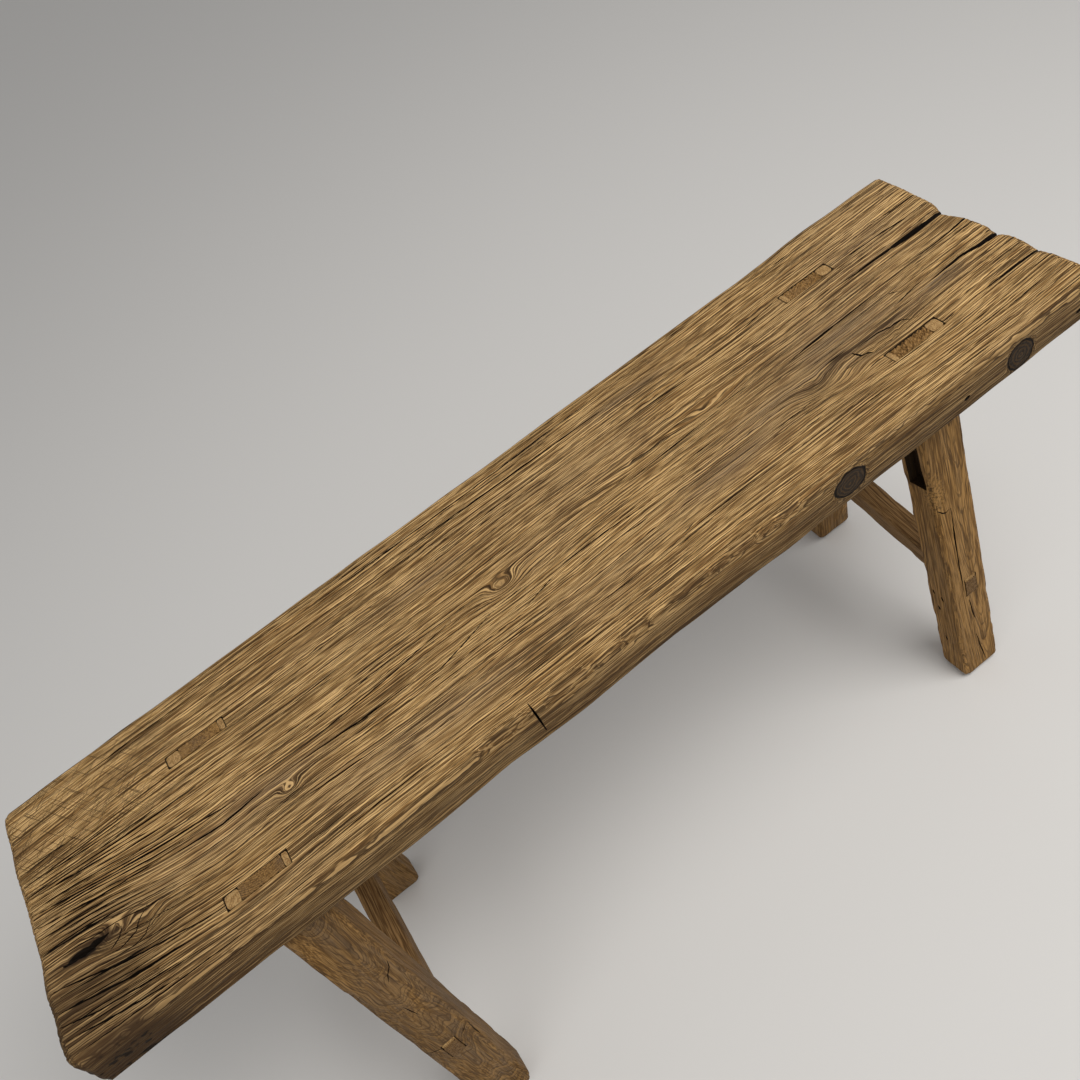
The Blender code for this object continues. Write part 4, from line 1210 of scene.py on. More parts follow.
def timber_tree():
    """Squared timber: a bar with worn arrises and a rounded foot, which keeps its own grain."""
    group, tree, given = geometry_tree("Squared Timber", TIMBER_INPUTS)
    size = tree.join(given["Breadth"], given["Depth"], given["Length"])
    counts = {"Vertices X": "Rows Across", "Vertices Y": "Rows Through", "Vertices Z": "Stations"}
    inputs = {socket: given[label] for socket, label in counts.items()}
    cube = tree.add("GeometryNodeMeshCube", {"Size": size, **inputs}).outputs["Mesh"]
    half = tree.scaled(size, 0.5)
    place = tree.add("GeometryNodeInputPosition").outputs[0]

    x, y, z = tree.split(place)
    half_x, half_y, half_z = tree.split(half)
    share = tree.math("DIVIDE", tree.math("ADD", z, half_z), given["Length"])
    gather = tree.math("MULTIPLY", tree.math("SUBTRACT", tree.math("MULTIPLY", share, share), share), 0.55)
    share = tree.math("ADD", share, gather)
    height = tree.math("MULTIPLY", share, given["Length"])

    flat = tree.join(x, y, 0.0)
    radius = tree.join(given["Arris Radius"], given["Arris Radius"], 0.0)
    limit = tree.vector("SUBTRACT", tree.join(half_x, half_y, 0.0), radius)
    core = tree.vector("MINIMUM", tree.vector("MAXIMUM", flat, tree.scaled(limit, -1.0)), limit)
    out = tree.vector("SUBTRACT", flat, core)
    out_x, out_y, _ = tree.split(tree.vector("ABSOLUTE", out))
    reach = tree.math("MAXIMUM", out_x, out_y)
    section = tree.vector("ADD", core, tree.scaled(tree.vector("NORMALIZE", out), reach))

    low = tree.math("SUBTRACT", given["Foot Radius"], height)
    low = tree.math("MAXIMUM", low, 0.0)
    square = tree.math("MULTIPLY", given["Foot Radius"], given["Foot Radius"])
    arc = tree.math("SQRT", tree.math("SUBTRACT", square, tree.math("MULTIPLY", low, low)))
    inset = tree.math("SUBTRACT", given["Foot Radius"], arc)
    shrink_x = tree.math("SUBTRACT", 1.0, tree.math("DIVIDE", inset, half_x))
    shrink_y = tree.math("SUBTRACT", 1.0, tree.math("DIVIDE", inset, half_y))
    section = tree.vector("MULTIPLY", section, tree.join(shrink_x, shrink_y, 1.0))

    offset = tree.join(given["Seed"], tree.math("MULTIPLY", given["Seed"], 1.7), 0.0)
    waves = tree.vector("ADD", tree.vector("MULTIPLY", place, (42.0, 42.0, 11.0)), offset)
    dents = tree.vector("ADD", tree.vector("MULTIPLY", place, (95.0, 95.0, 38.0)), offset)
    edge_x = tree.span(tree.math("DIVIDE", tree.math("ABSOLUTE", x), half_x), 0.70, 1.0)
    edge_y = tree.span(tree.math("DIVIDE", tree.math("ABSOLUTE", y), half_y), 0.62, 1.0)
    arris = tree.math("MULTIPLY", edge_x, edge_y)
    bite = tree.span(tree.noise(dents, 3.0), 0.42, 0.72)
    worn = tree.math("MULTIPLY", tree.math("MULTIPLY", arris, bite), given["Arris Wear"])
    worn = tree.math("MULTIPLY_ADD", tree.noise(waves, 2.0), given["Wear"], worn)
    pull = tree.vector("NORMALIZE", tree.join(x, y, 0.0))
    section = tree.vector("SUBTRACT", section, tree.scaled(pull, worn))
    head = tree.span(share, 0.985, 1.0)
    rubble = tree.span(tree.noise(tree.vector("MULTIPLY", place, (330.0, 330.0, 0.0)), 2.0), 0.34, 0.66)
    lowered = tree.math("MULTIPLY", tree.math("MULTIPLY", head, rubble), given["Head Wear"])
    height = tree.math("SUBTRACT", height, lowered)

    grain_place = tree.vector("ADD", section, given["Middle"])
    grain_x, grain_y, _ = tree.split(grain_place)
    swirl_x, swirl_y, swirl_z = tree.split(given["Swirl"])
    swirl = tree.join(
        tree.math("DIVIDE", tree.math("SUBTRACT", height, swirl_z), given["Swirl Length"]),
        tree.math("DIVIDE", tree.math("SUBTRACT", grain_x, swirl_x), 0.017),
        tree.math("DIVIDE", tree.math("SUBTRACT", grain_y, swirl_y), 0.022),
    )
    away = tree.vector("DOT_PRODUCT", swirl, swirl)
    near = tree.math("EXPONENT", tree.math("MULTIPLY", away, -1.0))
    rise = tree.math("MULTIPLY", near, given["Swirl Rise"])
    lumps = tree.noise(tree.vector("MULTIPLY", place, (210.0, 210.0, 130.0)), 2.0)
    burl = tree.math("MULTIPLY", tree.math("MULTIPLY", lumps, near), given["Burl Depth"])
    section = tree.vector("SUBTRACT", section, tree.scaled(pull, burl))
    placed = tree.vector("ADD", section, tree.join(0.0, 0.0, height))
    placed = tree.vector("ADD", placed, given["Middle"])
    wander = tree.vector("ADD", tree.join(tree.math("MULTIPLY", height, 7.0), 0.0, 0.0), offset)
    drift = tree.math("MULTIPLY", tree.math("SUBTRACT", tree.noise(wander, 1.0), 0.5), 0.012)
    bent_x = tree.math("ADD", tree.math("ADD", grain_x, rise), drift)
    ripple = tree.join(tree.math("MULTIPLY", height, 13.0), tree.math("MULTIPLY", grain_x, 34.0), given["Seed"])
    ripple = tree.math("MULTIPLY", tree.math("SUBTRACT", tree.noise(ripple, 1.0), 0.5), given["Figure"])
    bent_y = tree.math("ADD", tree.math("MULTIPLY_ADD", height, given["Tilt"], grain_y), ripple)
    from_pith = tree.vector("DISTANCE", tree.join(bent_x, bent_y, 0.0), given["Pith"])
    ring = tree.math("DIVIDE", from_pith, given["Ring Spacing"])
    number = tree.math("MULTIPLY", tree.math("FLOOR", ring), 3.7)
    broken = tree.join(number, tree.math("MULTIPLY", height, 9.0), given["Seed"])
    line = tree.span(tree.noise(broken, 1.0), 0.34, 0.62)
    grain = tree.join(tree.math("ADD", height, given["Seed"]), bent_x, bent_y)

    cloud = tree.vector("ADD", tree.vector("MULTIPLY", place, (30.0, 30.0, 10.0)), offset)
    grey = tree.math("MULTIPLY", tree.span(tree.noise(cloud, 2.0), 0.36, 0.62), given["Grey"])
    blot = tree.span(tree.noise(tree.vector("ADD", cloud, (5.3, 1.9, 8.1)), 2.0), 0.36, 0.66, 0.35, 1.0)
    stain = tree.math("MULTIPLY", blot, given["Stain"])
    stain = tree.math("ADD", stain, tree.span(share, 0.03, 0.0, 0.0, 0.30))
    crust = tree.math("MULTIPLY", given["Burl Depth"], 150.0)
    crust = tree.math("MULTIPLY", tree.span(near, 0.22, 0.75), crust)
    line = tree.math("MULTIPLY", line, given["Line Strength"])
    values = {"ring": ring, "line": line, "weather": grey, "stain": stain, "crust": crust, "known": 1.0}
    geometry = store_node(tree, cube, "grain", grain, "FLOAT_VECTOR")
    for name, value in values.items():
        geometry = store_node(tree, geometry, name, value)
    geometry = tree.add("GeometryNodeSetPosition", {"Geometry": geometry, "Position": placed}).outputs[0]
    close_tree(tree, geometry, given["Material"])
    return group


def run_tree(name, group, values):
    """The mesh that a geometry tree makes from the given input values."""
    obj = new_object(name, bpy.data.meshes.new(name))
    modifier = obj.modifiers.new(group.name, "NODES")
    modifier.node_group = group
    for item in group.interface.items_tree:
        if item.item_type == "SOCKET" and item.in_out == "INPUT" and item.name in values:
            modifier[item.identifier] = values[item.name]
    bake_modifiers(obj)
    return obj


def timber_values(ranges, length, spacing, extra):
    low, high = ranges
    breadth, depth = high - low
    middle = ((low[0] + high[0]) / 2, (low[1] + high[1]) / 2, 0.0)
    values = {
        "Middle": middle,
        "Breadth": float(breadth),
        "Depth": float(depth),
        "Length": float(length),
        "Rows Across": max(6, int(breadth / spacing) + 1),
        "Rows Through": max(6, int(depth / spacing) + 1),
        "Stations": max(10, int(length / 0.0045)),
        "Arris Radius": 0.0006,
        "Foot Radius": 0.00001,
        "Wear": 0.0002,
        "Arris Wear": 0.0,
        "Head Wear": 0.0,
        "Swirl": (0.0, 0.0, -1.0),
        "Swirl Length": 0.075,
        "Swirl Rise": 0.0,
        "Tilt": 0.0,
        "Figure": 0.0,
        "Line Strength": 1.0,
        "Burl Depth": 0.0,
        "Grey": 0.3,
        "Stain": 0.1,
    }
    values.update(extra)
    return values


LegShape = namedtuple(
    "LegShape",
    "seed pith tilt figure lines swirl swirl_length swirl_rise burl foot head_wear arris_wear grey stain",
)
LEG_SHAPES = {
    # The front left leg's higher stain and grey paint shade on it as well as dirt and weathering.
    "front_left": LegShape(
        3.1, (0.004, 0.050, 0.0), 0.090, 0.013, 0.62,
        (0.0, -0.019, 0.250), 0.075, 0.004, 0.0010, 0.019, 0.0006, 0.0035, 0.60, 0.42
    ),
    "front_right": LegShape(
        7.7, (0.010, 0.022, 0.0), 0.022, 0.002, 0.80,
        (-0.024, -0.023, 0.318), 0.034, 0.004, 0.0060, 0.009, 0.0034, 0.0024, 0.15, 0.10
    ),
    "back_left": LegShape(
        12.3, (-0.018, -0.050, 0.0), 0.030, 0.004, 0.70,
        (0.0, 0.019, 0.180), 0.060, 0.010, 0.0, 0.009, 0.0010, 0.0026, 0.45, 0.25
    ),
    "back_right": LegShape(
        17.9, (0.020, -0.044, 0.0), 0.030, 0.004, 0.70,
        (0.003, 0.019, 0.150), 0.060, 0.012, 0.0, 0.009, 0.0022, 0.0026, 0.35, 0.20
    ),
}


def leg_timber(leg):
    """A leg's directions, and the points of its body and of its tenon's end."""
    points = solid_points(f"leg_{leg}")
    top = points[points[:, 2] > SEAT_HIGH.z - 1e-4]
    foot = points[points[:, 2] < 1e-4]
    head = Vector(top.mean(axis=0))
    start = Vector((foot.min(axis=0) + foot.max(axis=0)) / 2)
    timber = Timber(start, head, Vector((1, 0, 0)))
    return timber, points[points[:, 2] < SEAT_LOW.z], top


def old_mortise(timber, body):
    """The cutter of a lost rail's mortise, on the side that faces the other end of the bench."""
    low = timber.ranges(body)[0][0]
    xs = np.array((low - 0.004, low + OLD_MORTISE_DEPTH))
    ys = np.array((-OLD_MORTISE_WIDTH / 2, OLD_MORTISE_WIDTH / 2))
    planes = (timber.level_plane(OLD_MORTISE_LOW), timber.level_plane(OLD_MORTISE_HIGH))
    points, faces = lattice(xs, ys, np.array((0.0, 1.0)))
    mesh = mesh_from("old_mortise", points, faces)
    timber.place(mesh, 1.0, planes)
    box = bmesh.new()
    box.from_mesh(mesh)
    # Its walls are painted nearly to the crack colour, as painted shade inside the empty mortise.
    return cutter_from("old_mortise", box, 0.9)


# Cracks in a leg's front face, by distance from its axis and height along it, and pits in its inner face
LEG_CRACKS = {
    "front_right": (
        Crack(((-0.0056, 0.286), (-0.0080, 0.225), (-0.0083, 0.150)), 0.0022, 0.007),
        Crack(((-0.0031, 0.132), (-0.0002, 0.095)), 0.0020, 0.006),
        Crack(((-0.0018, 0.066), (0.0020, 0.036), (0.0052, 0.010)), 0.0018, 0.006),
        Crack(((-0.0230, 0.296), (-0.0140, 0.284), (-0.0070, 0.286)), 0.0020, 0.005),
    ),
    "front_left": (
        Crack(((-0.0222, 0.1775), (-0.0160, 0.171), (-0.0090, 0.168)), 0.0016, 0.005),
        Crack(((0.0130, 0.166), (0.0160, 0.169), (0.0240, 0.179)), 0.0013, 0.004),
        Crack(((0.0240, 0.176), (0.0236, 0.141)), 0.0014, 0.004),
        Crack(((0.0200, 0.334), (0.0165, 0.322), (0.0120, 0.318), (0.0060, 0.306)), 0.0017, 0.004),
        Crack(((-0.0030, 0.262), (0.0010, 0.236)), 0.0012, 0.004),
    ),
    "back_left": (Crack(((0.004, 0.300), (0.007, 0.190)), 0.0014, 0.005),),
    "back_right": (Crack(((-0.006, 0.360), (-0.003, 0.240)), 0.0015, 0.005),),
}
LEG_PITS = {
    "front_right": (
        Crack(((0.0100, 0.149), (0.0085, 0.141)), 0.0034, 0.004),
        Crack(((-0.0022, 0.145), (-0.0038, 0.136)), 0.0036, 0.005),
        Crack(((0.0056, 0.123), (0.0044, 0.115)), 0.0034, 0.004),
        Crack(((0.0046, 0.066), (0.0032, 0.058)), 0.0030, 0.004),
    ),
}


def leg_cutters(leg, timber, body):
    """Cutters for the cracks in a leg's outward face and the pits in its inner one."""
    low, high = timber.ranges(body)
    start, across, through, along = (np.array(part) for part in timber.axes())
    side, level = (-1, low[1]) if leg.startswith("front") else (1, high[1])
    outward = Face(start + through * level, across, along, through * side)
    inward = Face(start + across * low[0], through, along, -across)
    cutters = crack_cutters("leg_crack", outward, LEG_CRACKS.get(leg, ()), False, LEG_CRACK_SEED)
    return cutters + crack_cutters("leg_pit", inward, LEG_PITS.get(leg, ()), False, LEG_PIT_SEED)


def make_leg(leg, look, group, material):
    timber, body, top = leg_timber(leg)
    own = LEG_SHAPES[leg]
    floor, head = timber.level_plane(0.0), timber.level_plane(SEAT_HIGH.z)
    shoulder = timber.level_plane(body[:, 2].max())
    common = {
        "Ring Spacing": look.ring_spacing,
        "Pith": own.pith,
        "Seed": own.seed,
        "Grey": own.grey,
        "Stain": own.stain,
        "Material": material,
    }
    extra = {
        "Arris Radius": look.arris,
        "Foot Radius": own.foot,
        "Wear": look.wear,
        "Arris Wear": own.arris_wear,
        "Swirl": own.swirl,
        "Swirl Length": own.swirl_length,
        "Swirl Rise": own.swirl_rise,
        "Tilt": own.tilt,
        "Figure": own.figure,
        "Line Strength": own.lines,
        "Burl Depth": own.burl,
    }
    length = shoulder[0] - floor[0]
    values = timber_values(timber.ranges(body), length, 0.0016, {**common, **extra})
    piece = run_tree(f"worn_leg_{leg}", group, values)
    timber.place(piece.data, length, (floor, shoulder))

    root = timber.level_plane(body[:, 2].max() - 0.012)
    length = head[0] - root[0]
    extra = {"Head Wear": own.head_wear, **common}
    tenon = run_tree(f"tenon_{leg}", group, timber_values(timber.ranges(top), length, 0.0008, extra))
    timber.place(tenon.data, length, (root, head))
    uncut = piece.data
    combine(piece, [tenon], "UNION")

    side = "left" if leg.endswith("left") else "right"
    cutters = [grown_solids(node, [node]) for node in (f"stretcher_{side}", f"stretcher_wedge_{leg}")]
    cutters += leg_cutters(leg, timber, body)
    if leg == OLD_MORTISE_LEG:
        cutters.append(old_mortise(timber, body))
    carry_grain(combine(piece, cutters, "DIFFERENCE"), uncut)
    finish_piece(piece, f"leg_{leg}", material)


def make_legs(look):
    group = bpy.data.node_groups.get("Squared Timber") or timber_tree()
    material = wood_material("leg_wood_worn", look)
    for leg in LEGS:
        make_leg(leg, look, group, material)


def make_stretcher(side, look, group, material, seed):
    points = solid_points(f"stretcher_{side}")
    order = np.argsort(points[:, 1])
    front, back = points[order[:4]], points[order[-4:]]
    body = points[order[4:-4]]
    timber = Timber(Vector(front.mean(axis=0)), Vector(back.mean(axis=0)), Vector((1, 0, 0)))
    middle = body[:, 1].mean()
    planes = [timber.end_plane(body[body[:, 1] < middle]), timber.end_plane(body[body[:, 1] > middle])]
    common = {"Ring Spacing": look.ring_spacing, "Pith": (0.02, 0.05, 0.0), "Seed": seed, "Material": material}
    extra = {"Arris Radius": look.arris, "Wear": look.wear, "Arris Wear": 0.0018, **common}
    length = planes[1][0] - planes[0][0]
    values = timber_values(timber.ranges(body), length, 0.0016, extra)
    piece = run_tree(f"worn_stretcher_{side}", group, values)
    timber.place(piece.data, length, planes)

    ends = [timber.end_plane(front), timber.end_plane(back)]
    length = ends[1][0] - ends[0][0]
    core = run_tree(f"tenons_{side}", group, timber_values(timber.ranges(front), length, 0.0012, common))
    timber.place(core.data, length, ends)
    uncut = piece.data
    carry_grain(combine(piece, [core], "UNION"), uncut)
    finish_piece(piece, f"stretcher_{side}", material)


def make_stretchers(look):
    group = bpy.data.node_groups.get("Squared Timber") or timber_tree()
    material = wood_material("stretcher_wood_worn", look)
    for number, side in enumerate(SIDES):
        make_stretcher(side, look, group, material, 23.0 + 5.3 * number)


WEDGE_INPUTS = (
    ("Butt", "NodeSocketVector"),
    ("Butt Length", "NodeSocketVector"),
    ("Butt Width", "NodeSocketVector"),
    ("Tip", "NodeSocketVector"),
    ("Tip Length", "NodeSocketVector"),
    ("Tip Width", "NodeSocketVector"),
    ("Rows", "NodeSocketInt"),
    ("Wear", "NodeSocketFloat"),
    ("Seed", "NodeSocketFloat"),
    ("Material", "NodeSocketMaterial"),
)


def wedge_tree():
    """Driven wedge: a block that tapers from its butt to its tip, with a bruised butt and worn edges."""
    group, tree, given = geometry_tree("Driven Wedge", WEDGE_INPUTS)
    rows = {f"Vertices {axis}": given["Rows"] for axis in "XYZ"}
    cube = tree.add("GeometryNodeMeshCube", {"Size": (2.0, 2.0, 2.0), **rows}).outputs["Mesh"]
    place = tree.add("GeometryNodeInputPosition").outputs[0]
    x, y, z = tree.split(place)
    share = tree.math("MULTIPLY_ADD", z, 0.5, 0.5)

    def between(tip, butt):
        step = tree.vector("SUBTRACT", given[butt], given[tip])
        return tree.vector("ADD", given[tip], tree.scaled(step, share))

    middle = between("Tip", "Butt")
    long_way = between("Tip Length", "Butt Length")
    wide_way = between("Tip Width", "Butt Width")
    out_x, out_y = tree.math("ABSOLUTE", x), tree.math("ABSOLUTE", y)
    corner = tree.math("MULTIPLY", tree.span(out_x, 0.6, 1.0), tree.span(out_y, 0.6, 1.0))
    squeeze = tree.math("MULTIPLY_ADD", corner, -0.12, 0.985)
    placed = tree.vector("ADD", middle, tree.scaled(long_way, tree.math("MULTIPLY", x, squeeze)))
    placed = tree.vector("ADD", placed, tree.scaled(wide_way, tree.math("MULTIPLY", y, squeeze)))
    seed = tree.join(given["Seed"], 0.0, 0.0)
    bruise = tree.noise(tree.vector("ADD", tree.vector("MULTIPLY", place, (2.6, 1.7, 0.0)), seed), 3.0)
    rim = tree.math("MAXIMUM", out_x, out_y)
    depth = tree.math("MULTIPLY_ADD", tree.span(rim, 0.75, 1.0), 0.5, bruise)
    depth = tree.math("MULTIPLY", tree.math("MULTIPLY", depth, given["Wear"]), tree.span(share, 0.9, 1.0))
    axis = tree.vector("NORMALIZE", tree.vector("SUBTRACT", given["Butt"], given["Tip"]))
    placed = tree.vector("SUBTRACT", placed, tree.scaled(axis, depth))

    reach = tree.vector("LENGTH", given["Butt Length"])
    width = tree.vector("LENGTH", given["Butt Width"])
    grain = tree.join(
        tree.math("MULTIPLY_ADD", share, 0.04, given["Seed"]),
        tree.math("MULTIPLY", x, reach),
        tree.math("MULTIPLY", y, width),
    )
    ring = tree.math("MULTIPLY_ADD", tree.math("MULTIPLY", y, width), 520.0, given["Seed"])
    geometry = store_node(tree, cube, "grain", grain, "FLOAT_VECTOR")
    geometry = store_node(tree, geometry, "ring", ring)
    geometry = store_node(tree, geometry, "line", 0.55)
    geometry = tree.add("GeometryNodeSetPosition", {"Geometry": geometry, "Position": placed}).outputs[0]
    close_tree(tree, geometry, given["Material"])
    return group


def wedge_end(points):
    """The middle of a wedge's end, and its two half-widths as vectors, the longer one last."""
    middle = points.mean(axis=0)
    first = points[0]
    others = sorted(points[1:], key=lambda point: np.linalg.norm(point - first))
    short, long_way = others[0] - first, others[1] - first
    return middle, short / 2, long_way / 2


def aligned(vector, guide):
    return vector if np.dot(vector, guide) >= 0 else -vector


def make_wedge(name, node, axis, look, group, material, seed):
    """A wedge in the place of its solid; the axis points from its tip to its butt."""
    points = solid_points(node)
    order = np.argsort(points @ np.array(axis))
    tip, butt = points[order[:4]], points[order[-4:]]
    middle, butt_a, butt_b = wedge_end(butt)
    tip_middle, tip_a, tip_b = wedge_end(tip)
    if abs(np.dot(tip_a, butt_a)) / np.linalg.norm(tip_a) < abs(np.dot(tip_b, butt_a)) / np.linalg.norm(tip_b):
        tip_a, tip_b = tip_b, tip_a
    tip_a, tip_b = aligned(tip_a, butt_a), aligned(tip_b, butt_b)
    if np.dot(np.cross(butt_a, butt_b), middle - tip_middle) < 0:
        butt_a, tip_a = -butt_a, -tip_a
    values = {
        "Butt": tuple(middle),
        "Butt Length": tuple(butt_a),
        "Butt Width": tuple(butt_b),
        "Tip": tuple(tip_middle),
        "Tip Length": tuple(tip_a),
        "Tip Width": tuple(tip_b),
        "Rows": 14,
        "Wear": look.wear,
        "Seed": seed,
        "Material": material,
    }
    finish_piece(run_tree(name, group, values), node, material)


def make_seat_wedges(look):
    group = bpy.data.node_groups.get("Driven Wedge") or wedge_tree()
    material = wood_material("wedge_wood_worn", look)
    for number, leg in enumerate(LEGS):
        for place in ("outer", "inner"):
            node = f"seat_wedge_{leg}_{place}"
            seed = 31.0 + 2.3 * number + (0.9 if place == "inner" else 0.0)
            make_wedge(f"worn_{node}", node, (0, 0, 1), look, group, material, seed)


def make_stretcher_wedges(look):
    group = bpy.data.node_groups.get("Driven Wedge") or wedge_tree()
    material = bpy.data.materials.get("wedge_wood_worn") or wood_material("wedge_wood_worn", look)
    for number, leg in enumerate(LEGS):
        outwards = -1 if leg.startswith("front") else 1
        node = f"stretcher_wedge_{leg}"
        make_wedge(f"worn_{node}", node, (0, outwards, 0), look, group, material, 51.0 + 1.9 * number)


def plain_material(name, colour, roughness):
    material = bpy.data.materials.new(name)
    material.use_nodes = True
    shader = material.node_tree.nodes["Principled BSDF"]
    shader.inputs["Base Color"].default_value = rgba(colour)
    shader.inputs["Roughness"].default_value = roughness
    return material


def make_floor(stage):
    mesh = bmesh.new()
    bmesh.ops.create_grid(mesh, x_segments=1, y_segments=1, size=FLOOR_HALF)
    data = bpy.data.meshes.new("floor")
    mesh.to_mesh(data)
    mesh.free()
    data.materials.append(plain_material("pale_floor", stage.floor, FLOOR_ROUGHNESS))
    new_object("floor", data)


def make_light(name, place, size, power):
    light = bpy.data.lights.new(name, "AREA")
    light.size = size
    light.energy = power
    obj = new_object(name, light)
    obj.location = place
    obj.rotation_euler = (Vector(LIGHT_AIM) - Vector(place)).to_track_quat("-Z", "Y").to_euler()


def make_camera():
    camera = bpy.data.cameras.new("camera")
    camera.lens = CAMERA_LENS
    camera.sensor_width = CAMERA_SENSOR
    obj = new_object("camera", camera)
    up = -CAMERA_DOWN
    back = CAMERA_RIGHT.cross(up)
    turn = Matrix((CAMERA_RIGHT, up, back)).transposed().to_4x4()
    obj.matrix_world = Matrix.Translation(CAMERA_PLACE) @ turn
    bpy.context.scene.camera = obj


def make_stage(stage):
    make_floor(stage)
    make_light("key_light", KEY_PLACE, KEY_SIZE, stage.key_power)
    make_light("fill_light", FILL_PLACE, FILL_SIZE, stage.fill_power)
    world = bpy.data.worlds.new("studio")
    world.use_nodes = True
    background = world.node_tree.nodes["Background"]
    background.inputs["Color"].default_value = rgba(stage.sky)
    background.inputs["Strength"].default_value = stage.sky_strength
    bpy.context.scene.world = world
    bpy.context.scene.view_settings.view_transform = "Standard"
    make_camera()


def colour_property(name, description, default):
    return FloatVectorProperty(
        name=name, description=description, default=default, subtype="COLOR", size=3, min=0, max=1
    )


def length_property(name, description, default):
    return FloatProperty(name=name, description=description, default=default, unit="LENGTH", precision=5, min=0)


def power_property(name, description, default):
    return FloatProperty(name=name, description=description, default=default, unit="POWER", min=0)


def share_property(name, description, default):
    return FloatProperty(name=name, description=description, default=default, subtype="FACTOR", min=0, max=1)


# In the wood looks, Pale also paints the highlight on the raised ribs of the grain, Crack paints the shade, with
# some dirt, inside cracks, holes and joints, and the seat's Stain also paints shade on its front face and the left
# end's front corner.
class SeatLook(bpy.types.PropertyGroup):
    """Wood of the seat plank."""

    pale: colour_property("Pale", "Ridges worn pale", (0.56, 0.354, 0.148))
    golden: colour_property("Golden", "Middle tone", (0.350, 0.203, 0.072))
    brown: colour_property("Brown", "Dark streaks", (0.168, 0.087, 0.028))
    line: colour_property("Line", "Growth lines and pores", (0.042, 0.021, 0.007))
    grey: colour_property("Grey", "Weathered patches", (0.195, 0.134, 0.080))
    stain: colour_property("Stain", "Dirt and dark edges", (0.040, 0.021, 0.009))
    knot: colour_property("Knot", "Knots", (0.026, 0.020, 0.015))
    crack: colour_property("Crack", "Inside of cracks", (0.008, 0.005, 0.003))
    line_shade: share_property("Line Shade", "How dark the growth lines are", 1.0)
    pore_shade: share_property("Pore Shade", "How dark the pores are", 0.85)
    roughness: share_property("Roughness", "Middle roughness", 0.70)
    bump: share_property("Bump", "Strength of the finest relief", 0.7)
    wobble: share_property("Wobble", "How unsteady the growth lines are", 0.5)
    ring_spacing: length_property("Ring Spacing", "Mean distance between growth rings", 0.0037)
    relief: length_property("Relief", "Depth of the deepest growth lines", 0.0013)


class LegLook(bpy.types.PropertyGroup):
    """Wood of the legs."""

    pale: colour_property("Pale", "Worn faces", (0.370, 0.204, 0.066))
    golden: colour_property("Golden", "Middle tone", (0.255, 0.133, 0.038))
    brown: colour_property("Brown", "Dark streaks", (0.140, 0.070, 0.020))
    line: colour_property("Line", "Growth lines and pores", (0.050, 0.026, 0.010))
    grey: colour_property("Grey", "Weathered patches", (0.150, 0.105, 0.066))
    stain: colour_property("Stain", "Dirt and dark edges", (0.040, 0.021, 0.009))
    crack: colour_property("Crack", "Inside of cracks", (0.008, 0.005, 0.003))
    line_shade: share_property("Line Shade", "How dark the growth lines are", 0.62)
    pore_shade: share_property("Pore Shade", "How dark the pores are", 0.30)
    roughness: share_property("Roughness", "Middle roughness", 0.62)
    bump: share_property("Bump", "Strength of the finest relief", 0.45)
    wobble: share_property("Wobble", "How unsteady the growth lines are", 0.3)
    ring_spacing: length_property("Ring Spacing", "Mean distance between growth rings", 0.0019)
    arris: length_property("Arris", "Radius of the arrises", 0.0055)
    wear: length_property("Wear", "Depth of the uneven wear", 0.0016)


class StretcherLook(bpy.types.PropertyGroup):
    """Wood of the stretchers."""

    pale: colour_property("Pale", "Worn faces", (0.290, 0.165, 0.064))
    golden: colour_property("Golden", "Middle tone", (0.190, 0.101, 0.036))
    brown: colour_property("Brown", "Dark streaks", (0.105, 0.053, 0.018))
    line: colour_property("Line", "Growth lines and pores", (0.040, 0.020, 0.008))
    grey: colour_property("Grey", "Weathered patches", (0.130, 0.090, 0.058))
    stain: colour_property("Stain", "Dirt and dark edges", (0.030, 0.016, 0.007))
    crack: colour_property("Crack", "Inside of cracks", (0.008, 0.005, 0.003))
    line_shade: share_property("Line Shade", "How dark the growth lines are", 0.5)
    pore_shade: share_property("Pore Shade", "How dark the pores are", 0.25)
    roughness: share_property("Roughness", "Middle roughness", 0.62)
    bump: share_property("Bump", "Strength of the finest relief", 0.4)
    wobble: share_property("Wobble", "How unsteady the growth lines are", 0.4)
    ring_spacing: length_property("Ring Spacing", "Mean distance between growth rings", 0.0019)
    arris: length_property("Arris", "Radius of the arrises", 0.0028)
    wear: length_property("Wear", "Depth of the uneven wear", 0.0010)


class WedgeLook(bpy.types.PropertyGroup):
    """Wood of the wedges."""

    pale: colour_property("Pale", "Fresh wood", (0.400, 0.250, 0.104))
    golden: colour_property("Golden", "Middle tone", (0.300, 0.172, 0.063))
    brown: colour_property("Brown", "Dark streaks", (0.210, 0.115, 0.041))
    line: colour_property("Line", "Growth lines and pores", (0.070, 0.037, 0.014))
    grey: colour_property("Grey", "Weathered patches", (0.190, 0.132, 0.083))
    stain: colour_property("Stain", "Dirt and dark edges", (0.040, 0.021, 0.009))
    crack: colour_property("Crack", "Inside of cracks", (0.008, 0.005, 0.003))
    line_shade: share_property("Line Shade", "How dark the growth lines are", 0.30)
    pore_shade: share_property("Pore Shade", "How dark the pores are", 0.25)
    roughness: share_property("Roughness", "Middle roughness", 0.70)
    bump: share_property("Bump", "Strength of the finest relief", 0.4)
    wobble: share_property("Wobble", "How unsteady the growth lines are", 0.4)
    wear: length_property("Wear", "Depth of the bruises on the butt", 0.0009)


class StageLook(bpy.types.PropertyGroup):
    """Floor and light."""

    floor: colour_property("Floor", "Colour of the floor", (0.60, 0.58, 0.55))
    sky: colour_property("Sky", "Colour of the light from all around", (0.97, 0.98, 1.0))
    sky_strength: FloatProperty(name="Sky Strength", description="Light from all around", default=0.45, min=0)
    key_power: power_property("Key Power", "Light from the right", 55)
    fill_power: power_property("Fill Power", "Light from the left", 9)


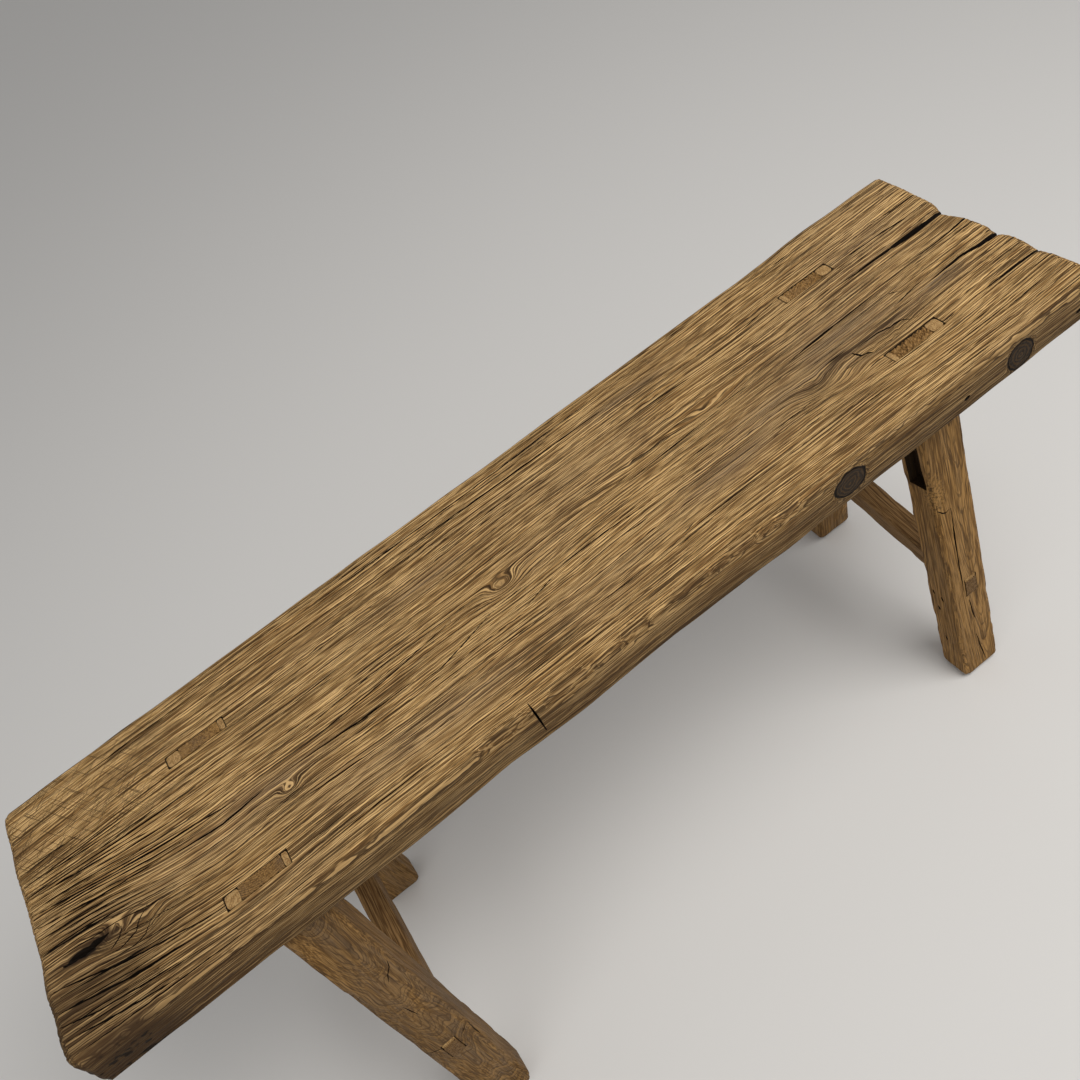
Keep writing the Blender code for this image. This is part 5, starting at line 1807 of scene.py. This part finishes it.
class BenchSettings(bpy.types.PropertyGroup):
    """All that a user may change."""

    seat: PointerProperty(type=SeatLook)
    leg: PointerProperty(type=LegLook)
    stretcher: PointerProperty(type=StretcherLook)
    wedge: PointerProperty(type=WedgeLook)
    stage: PointerProperty(type=StageLook)


class BENCH_OT_seat(bpy.types.Operator):
    """Build the seat plank with its worn grain, cracks and splits"""

    bl_idname = "bench.seat"
    bl_label = "Seat Plank"

    def execute(self, context):
        make_seat(context.scene.bench.seat)
        return {"FINISHED"}


class BENCH_OT_legs(bpy.types.Operator):
    """Build the four legs with their tenons"""

    bl_idname = "bench.legs"
    bl_label = "Legs"

    def execute(self, context):
        make_legs(context.scene.bench.leg)
        return {"FINISHED"}


class BENCH_OT_stretchers(bpy.types.Operator):
    """Build the stretcher at each end"""

    bl_idname = "bench.stretchers"
    bl_label = "Stretchers"

    def execute(self, context):
        make_stretchers(context.scene.bench.stretcher)
        return {"FINISHED"}


class BENCH_OT_seat_wedges(bpy.types.Operator):
    """Build the wedges beside the leg tenons"""

    bl_idname = "bench.seat_wedges"
    bl_label = "Seat Wedges"

    def execute(self, context):
        make_seat_wedges(context.scene.bench.wedge)
        return {"FINISHED"}


class BENCH_OT_stretcher_wedges(bpy.types.Operator):
    """Build the wedges above the stretcher tenons"""

    bl_idname = "bench.stretcher_wedges"
    bl_label = "Stretcher Wedges"

    def execute(self, context):
        make_stretcher_wedges(context.scene.bench.wedge)
        return {"FINISHED"}


class BENCH_OT_stage(bpy.types.Operator):
    """Set up the floor, the light and the camera"""

    bl_idname = "bench.stage"
    bl_label = "Stage"

    def execute(self, context):
        make_stage(context.scene.bench.stage)
        return {"FINISHED"}


OPERATORS = (
    BENCH_OT_seat,
    BENCH_OT_legs,
    BENCH_OT_stretchers,
    BENCH_OT_seat_wedges,
    BENCH_OT_stretcher_wedges,
    BENCH_OT_stage,
)


class BENCH_PT_panel(bpy.types.Panel):
    """Buttons that build the bench piece by piece"""

    bl_idname = "BENCH_PT_panel"
    bl_label = "Low Bench"
    bl_space_type = "VIEW_3D"
    bl_region_type = "UI"
    bl_category = "Bench"

    def draw(self, context):
        for operator in OPERATORS:
            self.layout.operator(operator.bl_idname)


LOOKS = (SeatLook, LegLook, StretcherLook, WedgeLook, StageLook, BenchSettings)
CLASSES = (*LOOKS, *OPERATORS, BENCH_PT_panel)


def register():
    for item in CLASSES:
        bpy.utils.register_class(item)
    bpy.types.Scene.bench = PointerProperty(type=BenchSettings)


def unregister():
    del bpy.types.Scene.bench
    for item in reversed(CLASSES):
        bpy.utils.unregister_class(item)


def main():
    register()
    bpy.ops.bench.seat()
    bpy.ops.bench.legs()
    bpy.ops.bench.stretchers()
    bpy.ops.bench.seat_wedges()
    bpy.ops.bench.stretcher_wedges()
    bpy.ops.bench.stage()


if __name__ == "__main__":
    main()
